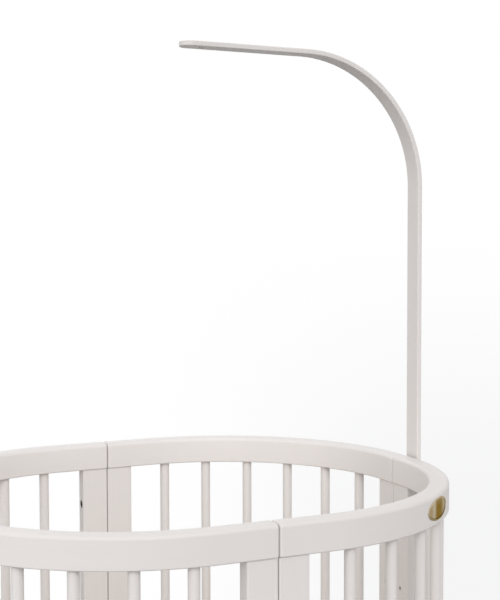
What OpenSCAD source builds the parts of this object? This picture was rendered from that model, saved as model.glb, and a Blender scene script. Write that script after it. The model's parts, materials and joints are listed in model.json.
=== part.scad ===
// Oval baby cradle: four quadrant panels of round bars between flat half-posts, bolted
// together at the ends of both axes, on castors, with a slatted base and a canopy rod.
// The origin is on the floor, below the middle of the rail ring. +X points to the rod's end.

/* [Rail ring] */
// Overall length of the ring, along X
ring_l = 820; // [780:1:900]
// Overall width of the ring, along Y
ring_w = 706; // [696:1:800]
// Radius of the ring's corners, at the middle of the rail
corner_r = 316; // [280:1:328]
// Height of the rails' top above the floor
rail_top = 860; // [820:1:940]
// Thickness of the rails, seen from above
rail_t = 30; // [28:0.5:34]
// Height of the top rails
rail_h = 44; // [38:1:54]
// Height of the bottom rails
low_rail_h = 40; // [34:1:50]
// Height of the bottom rails' underside above the floor
low_rail_z = 200; // [150:1:210]
// Radius of the top rails' upper edges
top_edge = 6; // [3:0.5:9]
// Radius of the rails' other edges
low_edge = 2; // [1:0.5:4]
// Gap between two rails at a seam
seam_gap = 0.8; // [0.4:0.1:1.6]

/* [Bars] */
// Diameter of a bar
bar_d = 16; // [12:0.5:18]
// Bars in one panel
bar_count = 6; // [4:1:7]
// Distance between bars, along the middle of the rail
bar_pitch = 75; // [66:1:78]
// Depth of the bars' seats in the rails
bar_seat = 12; // [8:1:18]

/* [Half-posts] */
// Width of a half-post
post_w = 44; // [42:1:47]
// Thickness of a half-post
post_t = 24; // [22:0.5:26]
// Gap between the two half-posts of a pair
post_gap = 1; // [0.6:0.1:2]
// Radius of the half-posts' upright edges
post_edge = 2; // [1:0.5:3.5]

/* [Dowels] */
// Diameter of the dowels between rails and half-posts
dowel_d = 8; // [6:0.5:10]
// Length of a dowel
dowel_l = 40; // [30:1:46]
// Distance between the two dowels of a joint
dowel_step = 20; // [16:1:22]

/* [Joint bolts] */
// Diameter of the joint bolts
bolt_d = 6; // [5:0.5:6.5]
// Distance of the highest joint bolt below the rails' top
bolt_drop = 105.5; // [90:0.5:115]
// Distance between joint bolts on a post
bolt_step = 205; // [195:1:215]
// Joint bolts on a post
bolt_rows = 3; // [2:1:3]
// Diameter of the bolts' and sleeve nuts' heads
head_d = 13; // [11:0.5:14]
// Height of a bolt's head
head_h = 4; // [3:0.5:5]
// Height of a sleeve nut's head
nut_head_h = 4; // [3:0.5:5]
// Diameter of a sleeve nut's barrel
barrel_d = 9; // [8:0.5:9.5]
// Length of a sleeve nut's barrel
barrel_l = 22; // [16:1:28]
// Depth at which the heads sit in the half-posts' side faces
sink_depth = 5; // [5:0.5:8]

/* [Mattress base] */
// Distance of the upper base holes below the rails' top
base_drop = 214.5; // [205:0.5:225]
// Distance between the base's settings
base_step = 180; // [172:1:185]
// Settings of the base
base_rows = 3; // [2:1:3]
// The setting in use, 1 is the highest
base_setting = 3; // [1, 2, 3]
// Diameter of the threaded inserts
insert_d = 9; // [8:0.5:11]
// Length of a threaded insert
insert_l = 14; // [10:1:16]
// Diameter of the screws that fit the inserts
base_screw_d = 6; // [5:0.5:6]
// Thickness of the base ring
base_t = 18; // [15:1:24]
// Width of the base ring's rim
base_rim = 50; // [44:1:70]
// Gap between the base ring and the half-posts
base_clear = 8; // [7.5:0.5:12]
// Width of a slat
slat_w = 64; // [50:1:70]
// Gap between slats
slat_gap = 40; // [30:1:42]
// Thickness of a slat
slat_t = 10; // [8:1:14]
// Distance of the slats' ends from the base ring's edge
slat_inset = 6; // [3:1:10]
// Slats on the base
slat_count = 7; // [5:2:7]
// Thickness of the angle brackets
bracket_t = 3; // [2:0.5:4]
// Length of an angle bracket, across both half-posts
bracket_l = 76; // [68:1:84]
// Reach of an angle bracket under the base ring
bracket_arm = 42; // [34:1:46]

/* [Canopy rod] */
// Width of the rod
rod_w = 33; // [26:0.5:36]
// Thickness of the rod
rod_t = 8; // [7:0.5:12]
// Height of the bend's crest above the rails' top
rod_rise = 652; // [560:1:720]
// Inside radius of the bend
rod_bend_r = 202; // [150:1:240]
// Angle of the bend
rod_bend = 89.5; // [85:0.5:90]
// Distance of the rod's free end from the middle of the ring
rod_end = 9; // [0:1:60]
// Gap between the rod and the rail's outer face
rod_off = 8.5; // [6:0.5:10]
// Diameter of the hole near the rod's free end
rod_hole_d = 8; // [5:0.5:12]
// Distance of that hole from the rod's free end
rod_hole_in = 35; // [22:1:60]
// Height of the rod holder
holder_h = 144; // [120:1:150]
// Wall of the rod holder
holder_wall = 3; // [2:0.5:5]
// Floor under the rod in its holder
holder_floor = 4; // [3:0.5:8]
// Distance of the holder below the top rail
holder_gap = 8; // [6:1:14]

/* [Oval plate] */
// Length of the oval plate, along the rail
plate_l = 81; // [50:1:100]
// Height of the oval plate
plate_h = 31.5; // [24:0.5:35]
// Distance of the oval plate from the panel's middle, towards the front seam
plate_shift = 5; // [0:1:20]
// Thickness of the oval plate
plate_t = 1.5; // [1:0.1:2.5]
// How far the plate stands proud of the rail
plate_proud = 0.3; // [0.1:0.1:0.6]

/* [Castors] */
// Diameter of a castor's wheel
wheel_d = 45; // [40:0.5:46]
// Width of a castor's wheel
wheel_w = 18; // [14:0.5:20]
// Diameter of the wheel's hub
hub_d = 32; // [26:0.5:36]
// Height of a castor, from the floor to its mounting plate
castor_h = 66; // [64:1:80]
// Distance of the wheel's axle behind the swivel axis
castor_trail = 15; // [12:0.5:18]
// Diameter of a castor's axle
axle_d = 6; // [5:0.5:7]
// Diameter of the swivel stem
stem_d = 10; // [8:0.5:10]
// Thickness of a castor's mounting plate
mount_t = 3; // [2:0.5:4]
// Thickness of a fork's cheeks
cheek_t = 3; // [2:0.5:4]
// Diameter of a brake lever's pin
brake_pin_d = 4; // [3:0.5:5]

/* [Clearances] */
// Radial clearance of fixed fits, such as a bar in its seat
seat_clear = 0.1; // [0.05:0.05:0.3]
// Radial clearance of turning fits
run_clear = 0.05; // [0.02:0.01:0.1]
// Clearance between faces that move past each other
slide_clear = 0.3; // [0.2:0.1:0.6]

/* [Hidden] */
$fn = 64;

PAINT = "#dcd8d3";
BIRCH = "#d9bf94";
STEEL = "#b9bcc0";
BRASS = "#a88a2c";
MOULDED = "#e6e3de";
RUBBER = "#5b5d60";

// Half lengths of the ring at the middle of the rail, and of its straight stretches
half_l = ring_l / 2 - rail_t / 2;
half_w = ring_w / 2 - rail_t / 2;
// The corners are round at most up to half the ring's width
turn_r = min(corner_r, half_w);
straight_x = half_l - turn_r;
straight_y = half_w - turn_r;
arc_l = turn_r * PI / 2;
quarter_l = straight_x + arc_l + straight_y;
rail_z = rail_top - rail_h;
low_rail_top = low_rail_z + low_rail_h;

// Signs of x and y in each quadrant
FRONT_RIGHT = [1, -1];
BACK_RIGHT = [1, 1];
BACK_LEFT = [-1, 1];
FRONT_LEFT = [-1, -1];
QUADRANTS = [FRONT_RIGHT, BACK_RIGHT, BACK_LEFT, FRONT_LEFT];

// Posts by number, and the direction in which each faces out
FRONT = 0;
RIGHT = 1;
BACK = 2;
LEFT = 3;
POSTS = [FRONT, RIGHT, BACK, LEFT];
POST_ANGLE = [-90, 0, 90, 180];

post_z = castor_h + mount_t;
post_mid = post_gap / 2 + post_w / 2;
post_side = post_gap / 2 + post_w;

// Joint bolts: the head sits in one half-post, the sleeve nut in the other
bolt_z = [for (i = [0 : bolt_rows - 1]) rail_top - bolt_drop - i * bolt_step];
sink_x = post_side - sink_depth;
bolt_end_gap = 2;
head_room = 1;
bolt_l = sink_x + sink_x - bolt_end_gap;
hex_d = 5.8;
hex_depth = 3;

base_z = [for (i = [0 : base_rows - 1]) rail_top - base_drop - i * base_step];
base_row_z = base_z[min(base_setting, base_rows) - 1];
insert_spare = 1;
insert_hole = insert_l + insert_spare;
bracket_drop = 14;
bracket_rise = 13;
button_d = 10.5;
button_h = 3.2;
bracket_screw_l = 16;
base_inset = post_t / 2 + base_clear;
base_ring_z = base_row_z - bracket_drop;
slat_z = base_ring_z + base_t;
slat_pitch = slat_w + slat_gap;
slat_x = [for (i = [0 : slat_count - 1]) (i - (slat_count - 1) / 2) * slat_pitch];

// Wood screws, used in four places
wood_screw_d = 4;
wood_head_d = 8;
wood_head_h = 2.4;
base_screw_l = 15;
base_screw_x = 24;
base_screw_in = 28;
slat_screw_l = 20;
slat_screw_in = 16;
plate_screw_l = 26;
plate_screw_x = [15, 34];
holder_screw_l = 16;
holder_screw_in = 22;

// Canopy rod: the leg stands in the holder, then the bend, then the arm
rod_x = half_l + rail_t / 2 + rod_off + rod_t / 2;
rod_mid_r = rod_bend_r + rod_t / 2;
rod_bend_x = rod_x - rod_mid_r;
rod_top = rail_top + rod_rise;
rod_bend_z = rod_top - rod_bend_r - rod_t;
rod_steps = 40;
rod_arm_l = (rod_bend_x + rod_mid_r * cos(rod_bend) - rod_end) / sin(rod_bend);
holder_top = rail_z - holder_gap;
holder_z = holder_top - holder_h;
rod_z = holder_z + holder_floor;
holder_ear = 17;
holder_ear_t = 4;
rod_in = rail_t / 2 + rod_off;
holder_half_w = rod_w / 2 + slide_clear + holder_wall;
holder_screw_x = holder_half_w + holder_ear / 2;
holder_screw_z = [holder_z + holder_screw_in, holder_top - holder_screw_in];

// Castors: heights from the floor
wheel_r = wheel_d / 2;
boss_d = 22;
boss_h = 5;
pocket_d = 18;
pocket_depth = 8;
rivet_d = 14;
rivet_h = 3;
crown_d = 34;
crown_h = 5;
crown_top = castor_h - boss_h - slide_clear;
crown_z = crown_top - crown_h;
cheek_gap = 1;
cheek_y = wheel_w / 2 + cheek_gap;
cheek_end_r = 9;
cheek_top_half = 11;
hub_boss_d = 12;
tyre_edge = 3;
axle_head_d = 10;
axle_head_h = 2.5;
plate_margin = 2;
castor_plate_l = 2 * (post_side - plate_margin);

// Brake lever: places are measured from the swivel axis, against the way the wheel trails
brake_x = 4;
brake_clear = 5;
brake_z = wheel_d + brake_clear;
brake_l = 42;
brake_plate_t = 4;
brake_hub_d = 8;
shoe_from = 8;
shoe_to = 18;
shoe_h = 3;
brake_w = 2 * cheek_y - 2 * slide_clear;

hair = 0.01;

// Place on the middle of the rail, quarter_l long from the +Y seam to the +X seam: [x, y, angle]
function on_rail(s) =
    s < straight_x ? [s, half_w, 90]
    : s < straight_x + arc_l ? let (a = (s - straight_x) / turn_r * 180 / PI)
        [straight_x + turn_r * sin(a), straight_y + turn_r * cos(a), 90 - a]
    : [half_l, quarter_l - s, 0];

// Half width of the ring's outline at x, when it is drawn in by an inset
function outline_y(x, inset) =
    abs(x) <= straight_x ? half_w - inset
    : straight_y + sqrt(pow(turn_r - inset, 2) - pow(abs(x) - straight_x, 2));

function bar_places() =
    [for (i = [0 : bar_count - 1]) on_rail(quarter_l / 2 + (i - (bar_count - 1) / 2) * bar_pitch)];

module in_quadrant(q) mirror([q[0] < 0 ? 1 : 0, 0, 0]) mirror([0, q[1] < 0 ? 1 : 0, 0]) children();

// Frame of a post: X along the rail, Y outwards, Z up from the floor
module at_post(i)
    rotate([0, 0, POST_ANGLE[i] - 90]) translate([0, i % 2 == 0 ? half_w : half_l, 0]) children();

module on_side(side) mirror([side < 0 ? 1 : 0, 0, 0]) children();

// Frame of a castor: Z is its swivel axis, and the wheel trails towards -X
module at_castor(i) translate([[0, half_l, 0, -half_l][i], [-half_w, 0, half_w, 0][i], 0]) children();

module along_y(l) rotate([90, 0, 0]) translate([0, 0, -l / 2]) linear_extrude(l) children();

// Rectangle standing on the X axis, with one radius at its top corners and one at its bottom
module soft_profile(w, h, top_r, low_r) {
    translate([-w / 2, low_r]) square([w, h - top_r - low_r]);
    translate([-w / 2 + low_r, 0]) square([w - 2 * low_r, h / 2]);
    translate([-w / 2 + top_r, h / 2]) square([w - 2 * top_r, h / 2]);
    for (side = [-1, 1]) {
        translate([side * (w / 2 - low_r), low_r]) circle(low_r);
        translate([side * (w / 2 - top_r), h - top_r]) circle(top_r);
    }
}

module soft_rect(w, h, r) translate([0, -h / 2]) soft_profile(w, h, r, r);

// A quarter of the ring, for x > 0 and y > 0
module quarter_sweep() {
    translate([straight_x, straight_y, 0])
        rotate_extrude(angle = 90) translate([turn_r, 0]) children();
    translate([0, half_w, 0]) rotate([90, 0, 90]) linear_extrude(straight_x) children();
    translate([half_l, straight_y, 0]) rotate([90, 0, 0]) linear_extrude(straight_y) children();
}

module quarter_from(cut, h)
    intersection() {
        children();
        translate([cut, cut, -hair]) cube([ring_l, ring_l, h + 2 * hair]);
    }

module bar_seats(z, depth)
    for (p = bar_places()) translate([p[0], p[1], z]) cylinder(d = bar_d + 2 * seat_clear, h = depth);

module dowel_hole(l) cylinder(d = dowel_d + 2 * seat_clear, h = l);

// --- Rails and bars ---

module top_rail(q)
    color(PAINT) in_quadrant(q) difference() {
        translate([0, 0, rail_z]) quarter_from(seam_gap / 2, rail_h)
            quarter_sweep() soft_profile(rail_t, rail_h, top_edge, low_edge);
        bar_seats(rail_z - hair, bar_seat + hair);
        for (x = [post_mid - dowel_step / 2, post_mid + dowel_step / 2]) {
            translate([x, half_w, rail_z - hair]) dowel_hole(dowel_l / 2 + slide_clear);
            translate([half_l, x, rail_z - hair]) dowel_hole(dowel_l / 2 + slide_clear);
        }
        if (q == FRONT_RIGHT) plate_shape(seat_clear, plate_t - plate_proud, rail_t / 2 + 1);
    }

module low_rail(q)
    color(PAINT) in_quadrant(q) difference() {
        translate([0, 0, low_rail_z]) quarter_from(post_side, low_rail_h)
            quarter_sweep() soft_profile(rail_t, low_rail_h, low_edge, low_edge);
        bar_seats(low_rail_top - bar_seat, bar_seat + hair);
        for (z = low_dowel_z()) {
            translate([post_side - hair, half_w, z]) rotate([0, 90, 0]) dowel_hole(dowel_l / 2 + slide_clear);
            translate([half_l, post_side - hair, z]) rotate([-90, 0, 0]) dowel_hole(dowel_l / 2 + slide_clear);
        }
    }

module bars(q)
    color(PAINT) in_quadrant(q) for (p = bar_places())
        translate([p[0], p[1], low_rail_top - bar_seat])
            cylinder(d = bar_d, h = rail_z - low_rail_top + 2 * bar_seat);

// --- Half-posts: side 1 holds the joint bolts' heads, side -1 their sleeve nuts ---

function low_dowel_z() =
    [for (k = [-1, 1]) low_rail_z + low_rail_h / 2 + k * dowel_step / 2];

module half_post(i, side)
    color(PAINT) at_post(i) on_side(side) difference() {
        translate([post_mid, 0, post_z]) linear_extrude(rail_z - post_z) soft_rect(post_w, post_t, post_edge);
        for (x = [post_mid - dowel_step / 2, post_mid + dowel_step / 2])
            translate([x, 0, rail_z - dowel_l / 2 - slide_clear]) dowel_hole(dowel_l);
        for (z = low_dowel_z())
            translate([post_side - dowel_l / 2 - slide_clear, 0, z]) rotate([0, 90, 0]) dowel_hole(dowel_l);
        for (z = base_z)
            translate([post_mid, -post_t / 2 - hair, z]) rotate([-90, 0, 0])
                cylinder(d = insert_d + 2 * seat_clear, h = insert_hole + hair);
        for (x = plate_screw_x)
            translate([x, 0, post_z - hair]) screw_hole(plate_screw_l);
        translate([0, 0, post_z - hair]) cylinder(d = pocket_d, h = pocket_depth + hair);
        for (z = bolt_z) translate([0, 0, z]) rotate([0, 90, 0]) {
            cylinder(d = bolt_d + 4 * seat_clear, h = post_side);
            translate([0, 0, sink_x]) cylinder(d = head_d + head_room, h = sink_depth + head_room);
            if (side < 0) translate([0, 0, sink_x - barrel_l - slide_clear])
                cylinder(d = barrel_d + 2 * seat_clear, h = barrel_l + head_room);
        }
        if (i == RIGHT) for (z = holder_screw_z)
            translate([holder_screw_x, post_t / 2 + hair, z]) rotate([90, 0, 0])
                screw_hole(holder_screw_l - holder_ear_t);
    }

module screw_hole(l) cylinder(d = wood_screw_d + 2 * seat_clear, h = l + slide_clear);

// --- Dowels, bolts and sleeve nuts ---

module rail_dowels()
    color(BIRCH) for (i = POSTS) at_post(i) for (side = [-1, 1]) on_side(side) {
        for (x = [post_mid - dowel_step / 2, post_mid + dowel_step / 2])
            translate([x, 0, rail_z - dowel_l / 2]) cylinder(d = dowel_d, h = dowel_l);
        for (z = low_dowel_z())
            translate([post_side - dowel_l / 2, 0, z]) rotate([0, 90, 0]) cylinder(d = dowel_d, h = dowel_l);
    }

module hex_socket(h) translate([0, 0, h - hex_depth]) cylinder(d = hex_d, h = hex_depth + hair, $fn = 6);

module joint_bolts()
    color(STEEL) for (i = POSTS) at_post(i) for (z = bolt_z)
        translate([sink_x, 0, z]) rotate([0, 90, 0]) difference() {
            union() {
                cylinder(d = head_d, h = head_h);
                translate([0, 0, -bolt_l]) cylinder(d = bolt_d, h = bolt_l + hair);
            }
            hex_socket(head_h);
        }

module joint_nuts()
    color(STEEL) for (i = POSTS) at_post(i) for (z = bolt_z)
        translate([-sink_x, 0, z]) rotate([0, -90, 0]) difference() {
            union() {
                cylinder(d = head_d, h = nut_head_h);
                translate([0, 0, -barrel_l]) cylinder(d = barrel_d, h = barrel_l + hair);
            }
            translate([0, 0, -barrel_l - hair])
                cylinder(d = bolt_d + 2 * seat_clear, h = barrel_l + nut_head_h + 2 * hair);
        }

// --- Mattress base ---

module outline_area(inset) {
    r = turn_r - inset;
    square([2 * straight_x, 2 * (half_w - inset)], center = true);
    square([2 * (half_l - inset), 2 * straight_y], center = true);
    for (x = [-straight_x, straight_x], y = [-straight_y, straight_y]) translate([x, y]) circle(r);
}

module base_inserts()
    color(BRASS) for (i = POSTS) at_post(i) for (side = [-1, 1], z = base_z)
        translate([side * post_mid, -post_t / 2, z]) rotate([-90, 0, 0]) difference() {
            cylinder(d = insert_d, h = insert_l);
            translate([0, 0, -hair]) cylinder(d = base_screw_d, h = insert_l + 2 * hair);
        }

module base_brackets()
    color(STEEL) for (i = POSTS) at_post(i) difference() {
        translate([-bracket_l / 2, -post_t / 2, 0]) union() {
            translate([0, -bracket_t, base_ring_z - bracket_t])
                cube([bracket_l, bracket_t, bracket_t + bracket_drop + bracket_rise]);
            translate([0, -bracket_arm, base_ring_z - bracket_t])
                cube([bracket_l, bracket_arm, bracket_t]);
        }
        for (side = [-1, 1]) {
            translate([side * post_mid, -post_t / 2 + hair, base_row_z]) rotate([90, 0, 0])
                cylinder(d = base_screw_d + 2 * seat_clear, h = bracket_t + 2 * hair);
            translate([side * base_screw_x, -post_t / 2 - base_screw_in, base_ring_z - bracket_t - hair])
                cylinder(d = wood_screw_d + 2 * seat_clear, h = bracket_t + 2 * hair);
        }
    }

module bracket_screws()
    color(STEEL) for (i = POSTS) at_post(i) for (side = [-1, 1])
        translate([side * post_mid, -post_t / 2 - bracket_t, base_row_z]) rotate([90, 0, 0]) difference() {
            union() {
                cylinder(d = button_d, h = button_h);
                translate([0, 0, -bracket_screw_l])
                    cylinder(d = base_screw_d - 2 * seat_clear, h = bracket_screw_l + hair);
            }
            hex_socket(button_h);
        }

module base_ring()
    color(BIRCH) difference() {
        translate([0, 0, base_ring_z]) linear_extrude(base_t) difference() {
            outline_area(base_inset);
            outline_area(base_inset + base_rim);
        }
        for (i = POSTS) at_post(i) for (side = [-1, 1])
            translate([side * base_screw_x, -post_t / 2 - base_screw_in, base_ring_z - hair])
                screw_hole(base_screw_l - bracket_t);
        slat_screw_places() screw_hole_down(slat_screw_l - slat_t);
    }

// A wood screw with its head below z = 0 and its shank up from there
module pan_screw(l) {
    translate([0, 0, -wood_head_h]) cylinder(d = wood_head_d, h = wood_head_h);
    translate([0, 0, -hair]) cylinder(d = wood_screw_d, h = l + hair);
}

module base_screws()
    color(STEEL) for (i = POSTS) at_post(i) for (side = [-1, 1])
        translate([side * base_screw_x, -post_t / 2 - base_screw_in, base_ring_z - bracket_t])
            pan_screw(base_screw_l);

// Slat screws stand on the joint between slat and ring
module slat_screw_places()
    for (x = slat_x, side = [-1, 1])
        translate([x, side * (outline_y(x, base_inset) - slat_inset - slat_screw_in), slat_z]) children();

module screw_hole_down(l) translate([0, 0, -l - slide_clear]) screw_hole(l);

module slat_head(extra)
    translate([0, 0, slat_t - wood_head_h])
        cylinder(d1 = wood_screw_d + 2 * extra, d2 = wood_head_d + 2 * extra, h = wood_head_h);

module base_slats()
    color(BIRCH) difference() {
        translate([0, 0, slat_z]) linear_extrude(slat_t) intersection() {
            outline_area(base_inset + slat_inset);
            for (x = slat_x) translate([x, 0]) square([slat_w, ring_w], center = true);
        }
        slat_screw_places() {
            screw_hole(slat_t);
            slat_head(seat_clear);
        }
    }

module slat_screws()
    color(STEEL) slat_screw_places() {
        translate([0, 0, slat_t - slat_screw_l]) cylinder(d = wood_screw_d, h = slat_screw_l);
        slat_head(0);
    }

// --- Oval plate, in the quadrant's own frame ---

function ellipse_points(w, h) =
    [for (i = [0 : 47]) [w / 2 * cos(i * 7.5), h / 2 * sin(i * 7.5)]];

// The oval's space on the outer face of the rail: depth into the wood, and height over the middle
module plate_shape(grow, depth, over) {
    place = on_rail(quarter_l / 2 - plate_shift);
    face = turn_r + rail_t / 2;
    translate([straight_x, straight_y, 0]) intersection() {
        rotate([0, 0, place[2]]) translate([face - rail_t / 2, 0, rail_top - rail_h / 2])
            rotate([90, 0, 90]) linear_extrude(rail_t)
                polygon(ellipse_points(plate_l + 2 * grow, plate_h + 2 * grow));
        translate([0, 0, rail_z]) linear_extrude(rail_h) difference() {
            circle(turn_r + over);
            circle(face - depth);
        }
    }
}

module oval_plate()
    color(BRASS) in_quadrant(FRONT_RIGHT)
        plate_shape(0, plate_t - plate_proud, rail_t / 2 + plate_proud);

// --- Canopy rod and its holder ---

// The rod's outline from the side, as points of X and Z
function rod_arc(r, angles) =
    [for (a = angles) [rod_bend_x + r * cos(a), rod_bend_z + r * sin(a)]];
function rod_tip(r) =
    [rod_bend_x + r * cos(rod_bend) - rod_arm_l * sin(rod_bend),
     rod_bend_z + r * sin(rod_bend) + rod_arm_l * cos(rod_bend)];
function rod_side() = let (
        angles = [for (i = [0 : rod_steps]) i * rod_bend / rod_steps],
        back = [for (i = [0 : rod_steps]) angles[rod_steps - i]],
        outer = rod_mid_r + rod_t / 2,
        inner = rod_mid_r - rod_t / 2)
    concat(
        [[rod_bend_x + inner, rod_z], [rod_bend_x + outer, rod_z]], rod_arc(outer, angles),
        [rod_tip(outer), rod_tip(inner)], rod_arc(inner, back));

// Seen from above, the rod has straight sides and a round free end
module rod_plan() {
    translate([rod_end + rod_w / 2, -rod_w / 2]) square([ring_l, rod_w]);
    translate([rod_end + rod_w / 2, 0]) circle(d = rod_w);
}

module canopy_rod()
    color(PAINT) difference() {
        intersection() {
            along_y(2 * rod_w) polygon(rod_side());
            translate([0, 0, rod_z - rod_t]) linear_extrude(2 * rod_top) rod_plan();
        }
        translate([rod_bend_x, 0, rod_bend_z]) rotate([0, -rod_bend, 0])
            translate([rod_mid_r - rod_t, 0, rod_arm_l - rod_hole_in]) rotate([0, 90, 0])
                cylinder(d = rod_hole_d, h = 2 * rod_t);
    }

module rod_holder()
    color(MOULDED) at_post(RIGHT) difference() {
        union() {
            translate([-holder_half_w, post_t / 2, holder_z])
                cube([2 * holder_half_w, rod_in + rod_t + slide_clear + holder_wall - post_t / 2, holder_h]);
            translate([-holder_half_w - holder_ear, post_t / 2, holder_z])
                cube([2 * (holder_half_w + holder_ear), holder_ear_t, holder_h]);
        }
        translate([-rod_w / 2 - slide_clear, rod_in - slide_clear, rod_z])
            cube([rod_w + 2 * slide_clear, rod_t + 2 * slide_clear, holder_h]);
        for (side = [-1, 1], z = holder_screw_z)
            translate([side * holder_screw_x, post_t / 2 + holder_ear_t + hair, z]) rotate([90, 0, 0])
                cylinder(d = wood_screw_d + 2 * seat_clear, h = holder_ear_t + 2 * hair);
    }

module holder_screws()
    color(STEEL) at_post(RIGHT) for (side = [-1, 1], z = holder_screw_z)
        translate([side * holder_screw_x, post_t / 2 + holder_ear_t, z]) rotate([90, 0, 0])
            pan_screw(holder_screw_l);

// --- Castors ---

module castor_plates()
    color(STEEL) for (i = POSTS) at_post(i) difference() {
        union() {
            translate([-castor_plate_l / 2, -post_t / 2, castor_h]) cube([castor_plate_l, post_t, mount_t]);
            translate([0, 0, castor_h - boss_h]) cylinder(d = boss_d, h = boss_h + hair);
        }
        translate([0, 0, castor_h - boss_h - hair])
            cylinder(d = stem_d + 2 * run_clear, h = boss_h + mount_t + 2 * hair);
        for (side = [-1, 1], x = plate_screw_x)
            translate([side * x, 0, castor_h - hair])
                cylinder(d = wood_screw_d + 2 * seat_clear, h = mount_t + 2 * hair);
    }

module plate_screws()
    color(STEEL) for (i = POSTS) at_post(i) for (side = [-1, 1], x = plate_screw_x)
        translate([side * x, 0, castor_h]) pan_screw(plate_screw_l);

module castor_fork(i)
    color(STEEL) at_castor(i) difference() {
        union() {
            translate([0, 0, crown_top - hair]) cylinder(d = stem_d, h = post_z + slide_clear - crown_top + 2 * hair);
            translate([0, 0, post_z + slide_clear]) cylinder(d = rivet_d, h = rivet_h);
            translate([0, 0, crown_z]) cylinder(d = crown_d, h = crown_h);
            for (side = [-1, 1]) translate([0, side * (cheek_y + cheek_t / 2), 0]) along_y(cheek_t) cheek();
        }
        translate([-castor_trail, 0, wheel_r]) along_y(crown_d) circle(d = axle_d + 2 * run_clear);
        if (i % 2 == 0)
            translate([-brake_x, 0, brake_z]) along_y(crown_d) circle(d = brake_pin_d + 2 * run_clear);
    }

// Side view of a cheek: a round end at the axle and a straight taper up into the crown
module cheek() {
    translate([-castor_trail, wheel_r]) circle(cheek_end_r);
    polygon([
        [-castor_trail - cheek_end_r, wheel_r], [-castor_trail + cheek_end_r, wheel_r],
        [cheek_top_half, crown_z], [cheek_top_half, crown_z + hair],
        [-cheek_top_half, crown_z + hair], [-cheek_top_half - 4, brake_z]
    ]);
}

module castor_axle(i)
    color(STEEL) at_castor(i) translate([-castor_trail, 0, wheel_r]) {
        cheek_out = cheek_y + cheek_t;
        along_y(2 * cheek_out) circle(d = axle_d);
        translate([0, cheek_out + axle_head_h / 2, 0]) along_y(axle_head_h + hair) circle(d = axle_head_d);
        translate([0, -cheek_out - axle_head_h / 2, 0]) along_y(axle_head_h + hair)
            circle(d = axle_head_d, $fn = 6);
    }

module castor_hub(i)
    color(MOULDED) at_castor(i) translate([-castor_trail, 0, wheel_r]) difference() {
        union() {
            along_y(wheel_w - 2) circle(d = hub_d - 2 * run_clear);
            along_y(2 * (cheek_y - slide_clear)) circle(d = hub_boss_d);
        }
        along_y(wheel_d) circle(d = axle_d + 2 * run_clear);
    }

module castor_tyre(i)
    color(RUBBER) at_castor(i) translate([-castor_trail, 0, wheel_r]) rotate([90, 0, 0]) rotate_extrude()
        translate([(wheel_r + hub_d / 2) / 2, 0]) tyre_section();

// The tyre's section: its tread side has round edges
module tyre_section() {
    w = wheel_r - hub_d / 2;
    translate([-w / 2, -wheel_w / 2]) square([w - tyre_edge, wheel_w]);
    translate([-w / 2, -wheel_w / 2 + tyre_edge]) square([w, wheel_w - 2 * tyre_edge]);
    for (side = [-1, 1])
        translate([w / 2 - tyre_edge, side * (wheel_w / 2 - tyre_edge)]) circle(tyre_edge);
}

module brake_lever(i)
    color(MOULDED) at_castor(i) translate([-brake_x, 0, brake_z]) difference() {
        along_y(brake_w) union() {
            circle(d = brake_hub_d);
            translate([-brake_l, 0]) square([brake_l, brake_plate_t]);
            translate([-shoe_to, -shoe_h]) square([shoe_to - shoe_from, shoe_h + hair]);
        }
        along_y(crown_d) circle(d = brake_pin_d + 2 * run_clear);
    }

module brake_pin(i)
    color(STEEL) at_castor(i) translate([-brake_x, 0, brake_z])
        along_y(2 * (cheek_y + cheek_t)) circle(d = brake_pin_d);

top_rail(FRONT_RIGHT);  // top_rail_front_right
top_rail(BACK_RIGHT);  // top_rail_back_right
top_rail(BACK_LEFT);  // top_rail_back_left
top_rail(FRONT_LEFT);  // top_rail_front_left
low_rail(FRONT_RIGHT);  // low_rail_front_right
low_rail(BACK_RIGHT);  // low_rail_back_right
low_rail(BACK_LEFT);  // low_rail_back_left
low_rail(FRONT_LEFT);  // low_rail_front_left
bars(FRONT_RIGHT);  // bars_front_right
bars(BACK_RIGHT);  // bars_back_right
bars(BACK_LEFT);  // bars_back_left
bars(FRONT_LEFT);  // bars_front_left
half_post(FRONT, 1);  // post_front_left
half_post(FRONT, -1);  // post_front_right
half_post(RIGHT, 1);  // post_right_front
half_post(RIGHT, -1);  // post_right_back
half_post(BACK, 1);  // post_back_right
half_post(BACK, -1);  // post_back_left
half_post(LEFT, 1);  // post_left_back
half_post(LEFT, -1);  // post_left_front
rail_dowels();
joint_bolts();
joint_nuts();
base_inserts();
base_brackets();
bracket_screws();
base_ring();
base_screws();
base_slats();
slat_screws();
oval_plate();
canopy_rod();
rod_holder();
holder_screws();
castor_plates();
plate_screws();
castor_fork(FRONT);  // castor_fork_front
castor_fork(RIGHT);  // castor_fork_right
castor_fork(BACK);  // castor_fork_back
castor_fork(LEFT);  // castor_fork_left
castor_axle(FRONT);  // castor_axle_front
castor_axle(RIGHT);  // castor_axle_right
castor_axle(BACK);  // castor_axle_back
castor_axle(LEFT);  // castor_axle_left
castor_hub(FRONT);  // castor_hub_front
castor_hub(RIGHT);  // castor_hub_right
castor_hub(BACK);  // castor_hub_back
castor_hub(LEFT);  // castor_hub_left
castor_tyre(FRONT);  // castor_tyre_front
castor_tyre(RIGHT);  // castor_tyre_right
castor_tyre(BACK);  // castor_tyre_back
castor_tyre(LEFT);  // castor_tyre_left
brake_lever(FRONT);  // brake_lever_front
brake_lever(BACK);  // brake_lever_back
brake_pin(FRONT);  // brake_pin_front
brake_pin(BACK);  // brake_pin_back
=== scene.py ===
import json
import math

import bmesh
import bpy
import numpy as np
from bpy.props import FloatProperty, FloatVectorProperty, PointerProperty
from mathutils import Matrix, Vector
from mathutils.bvhtree import BVHTree

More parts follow.
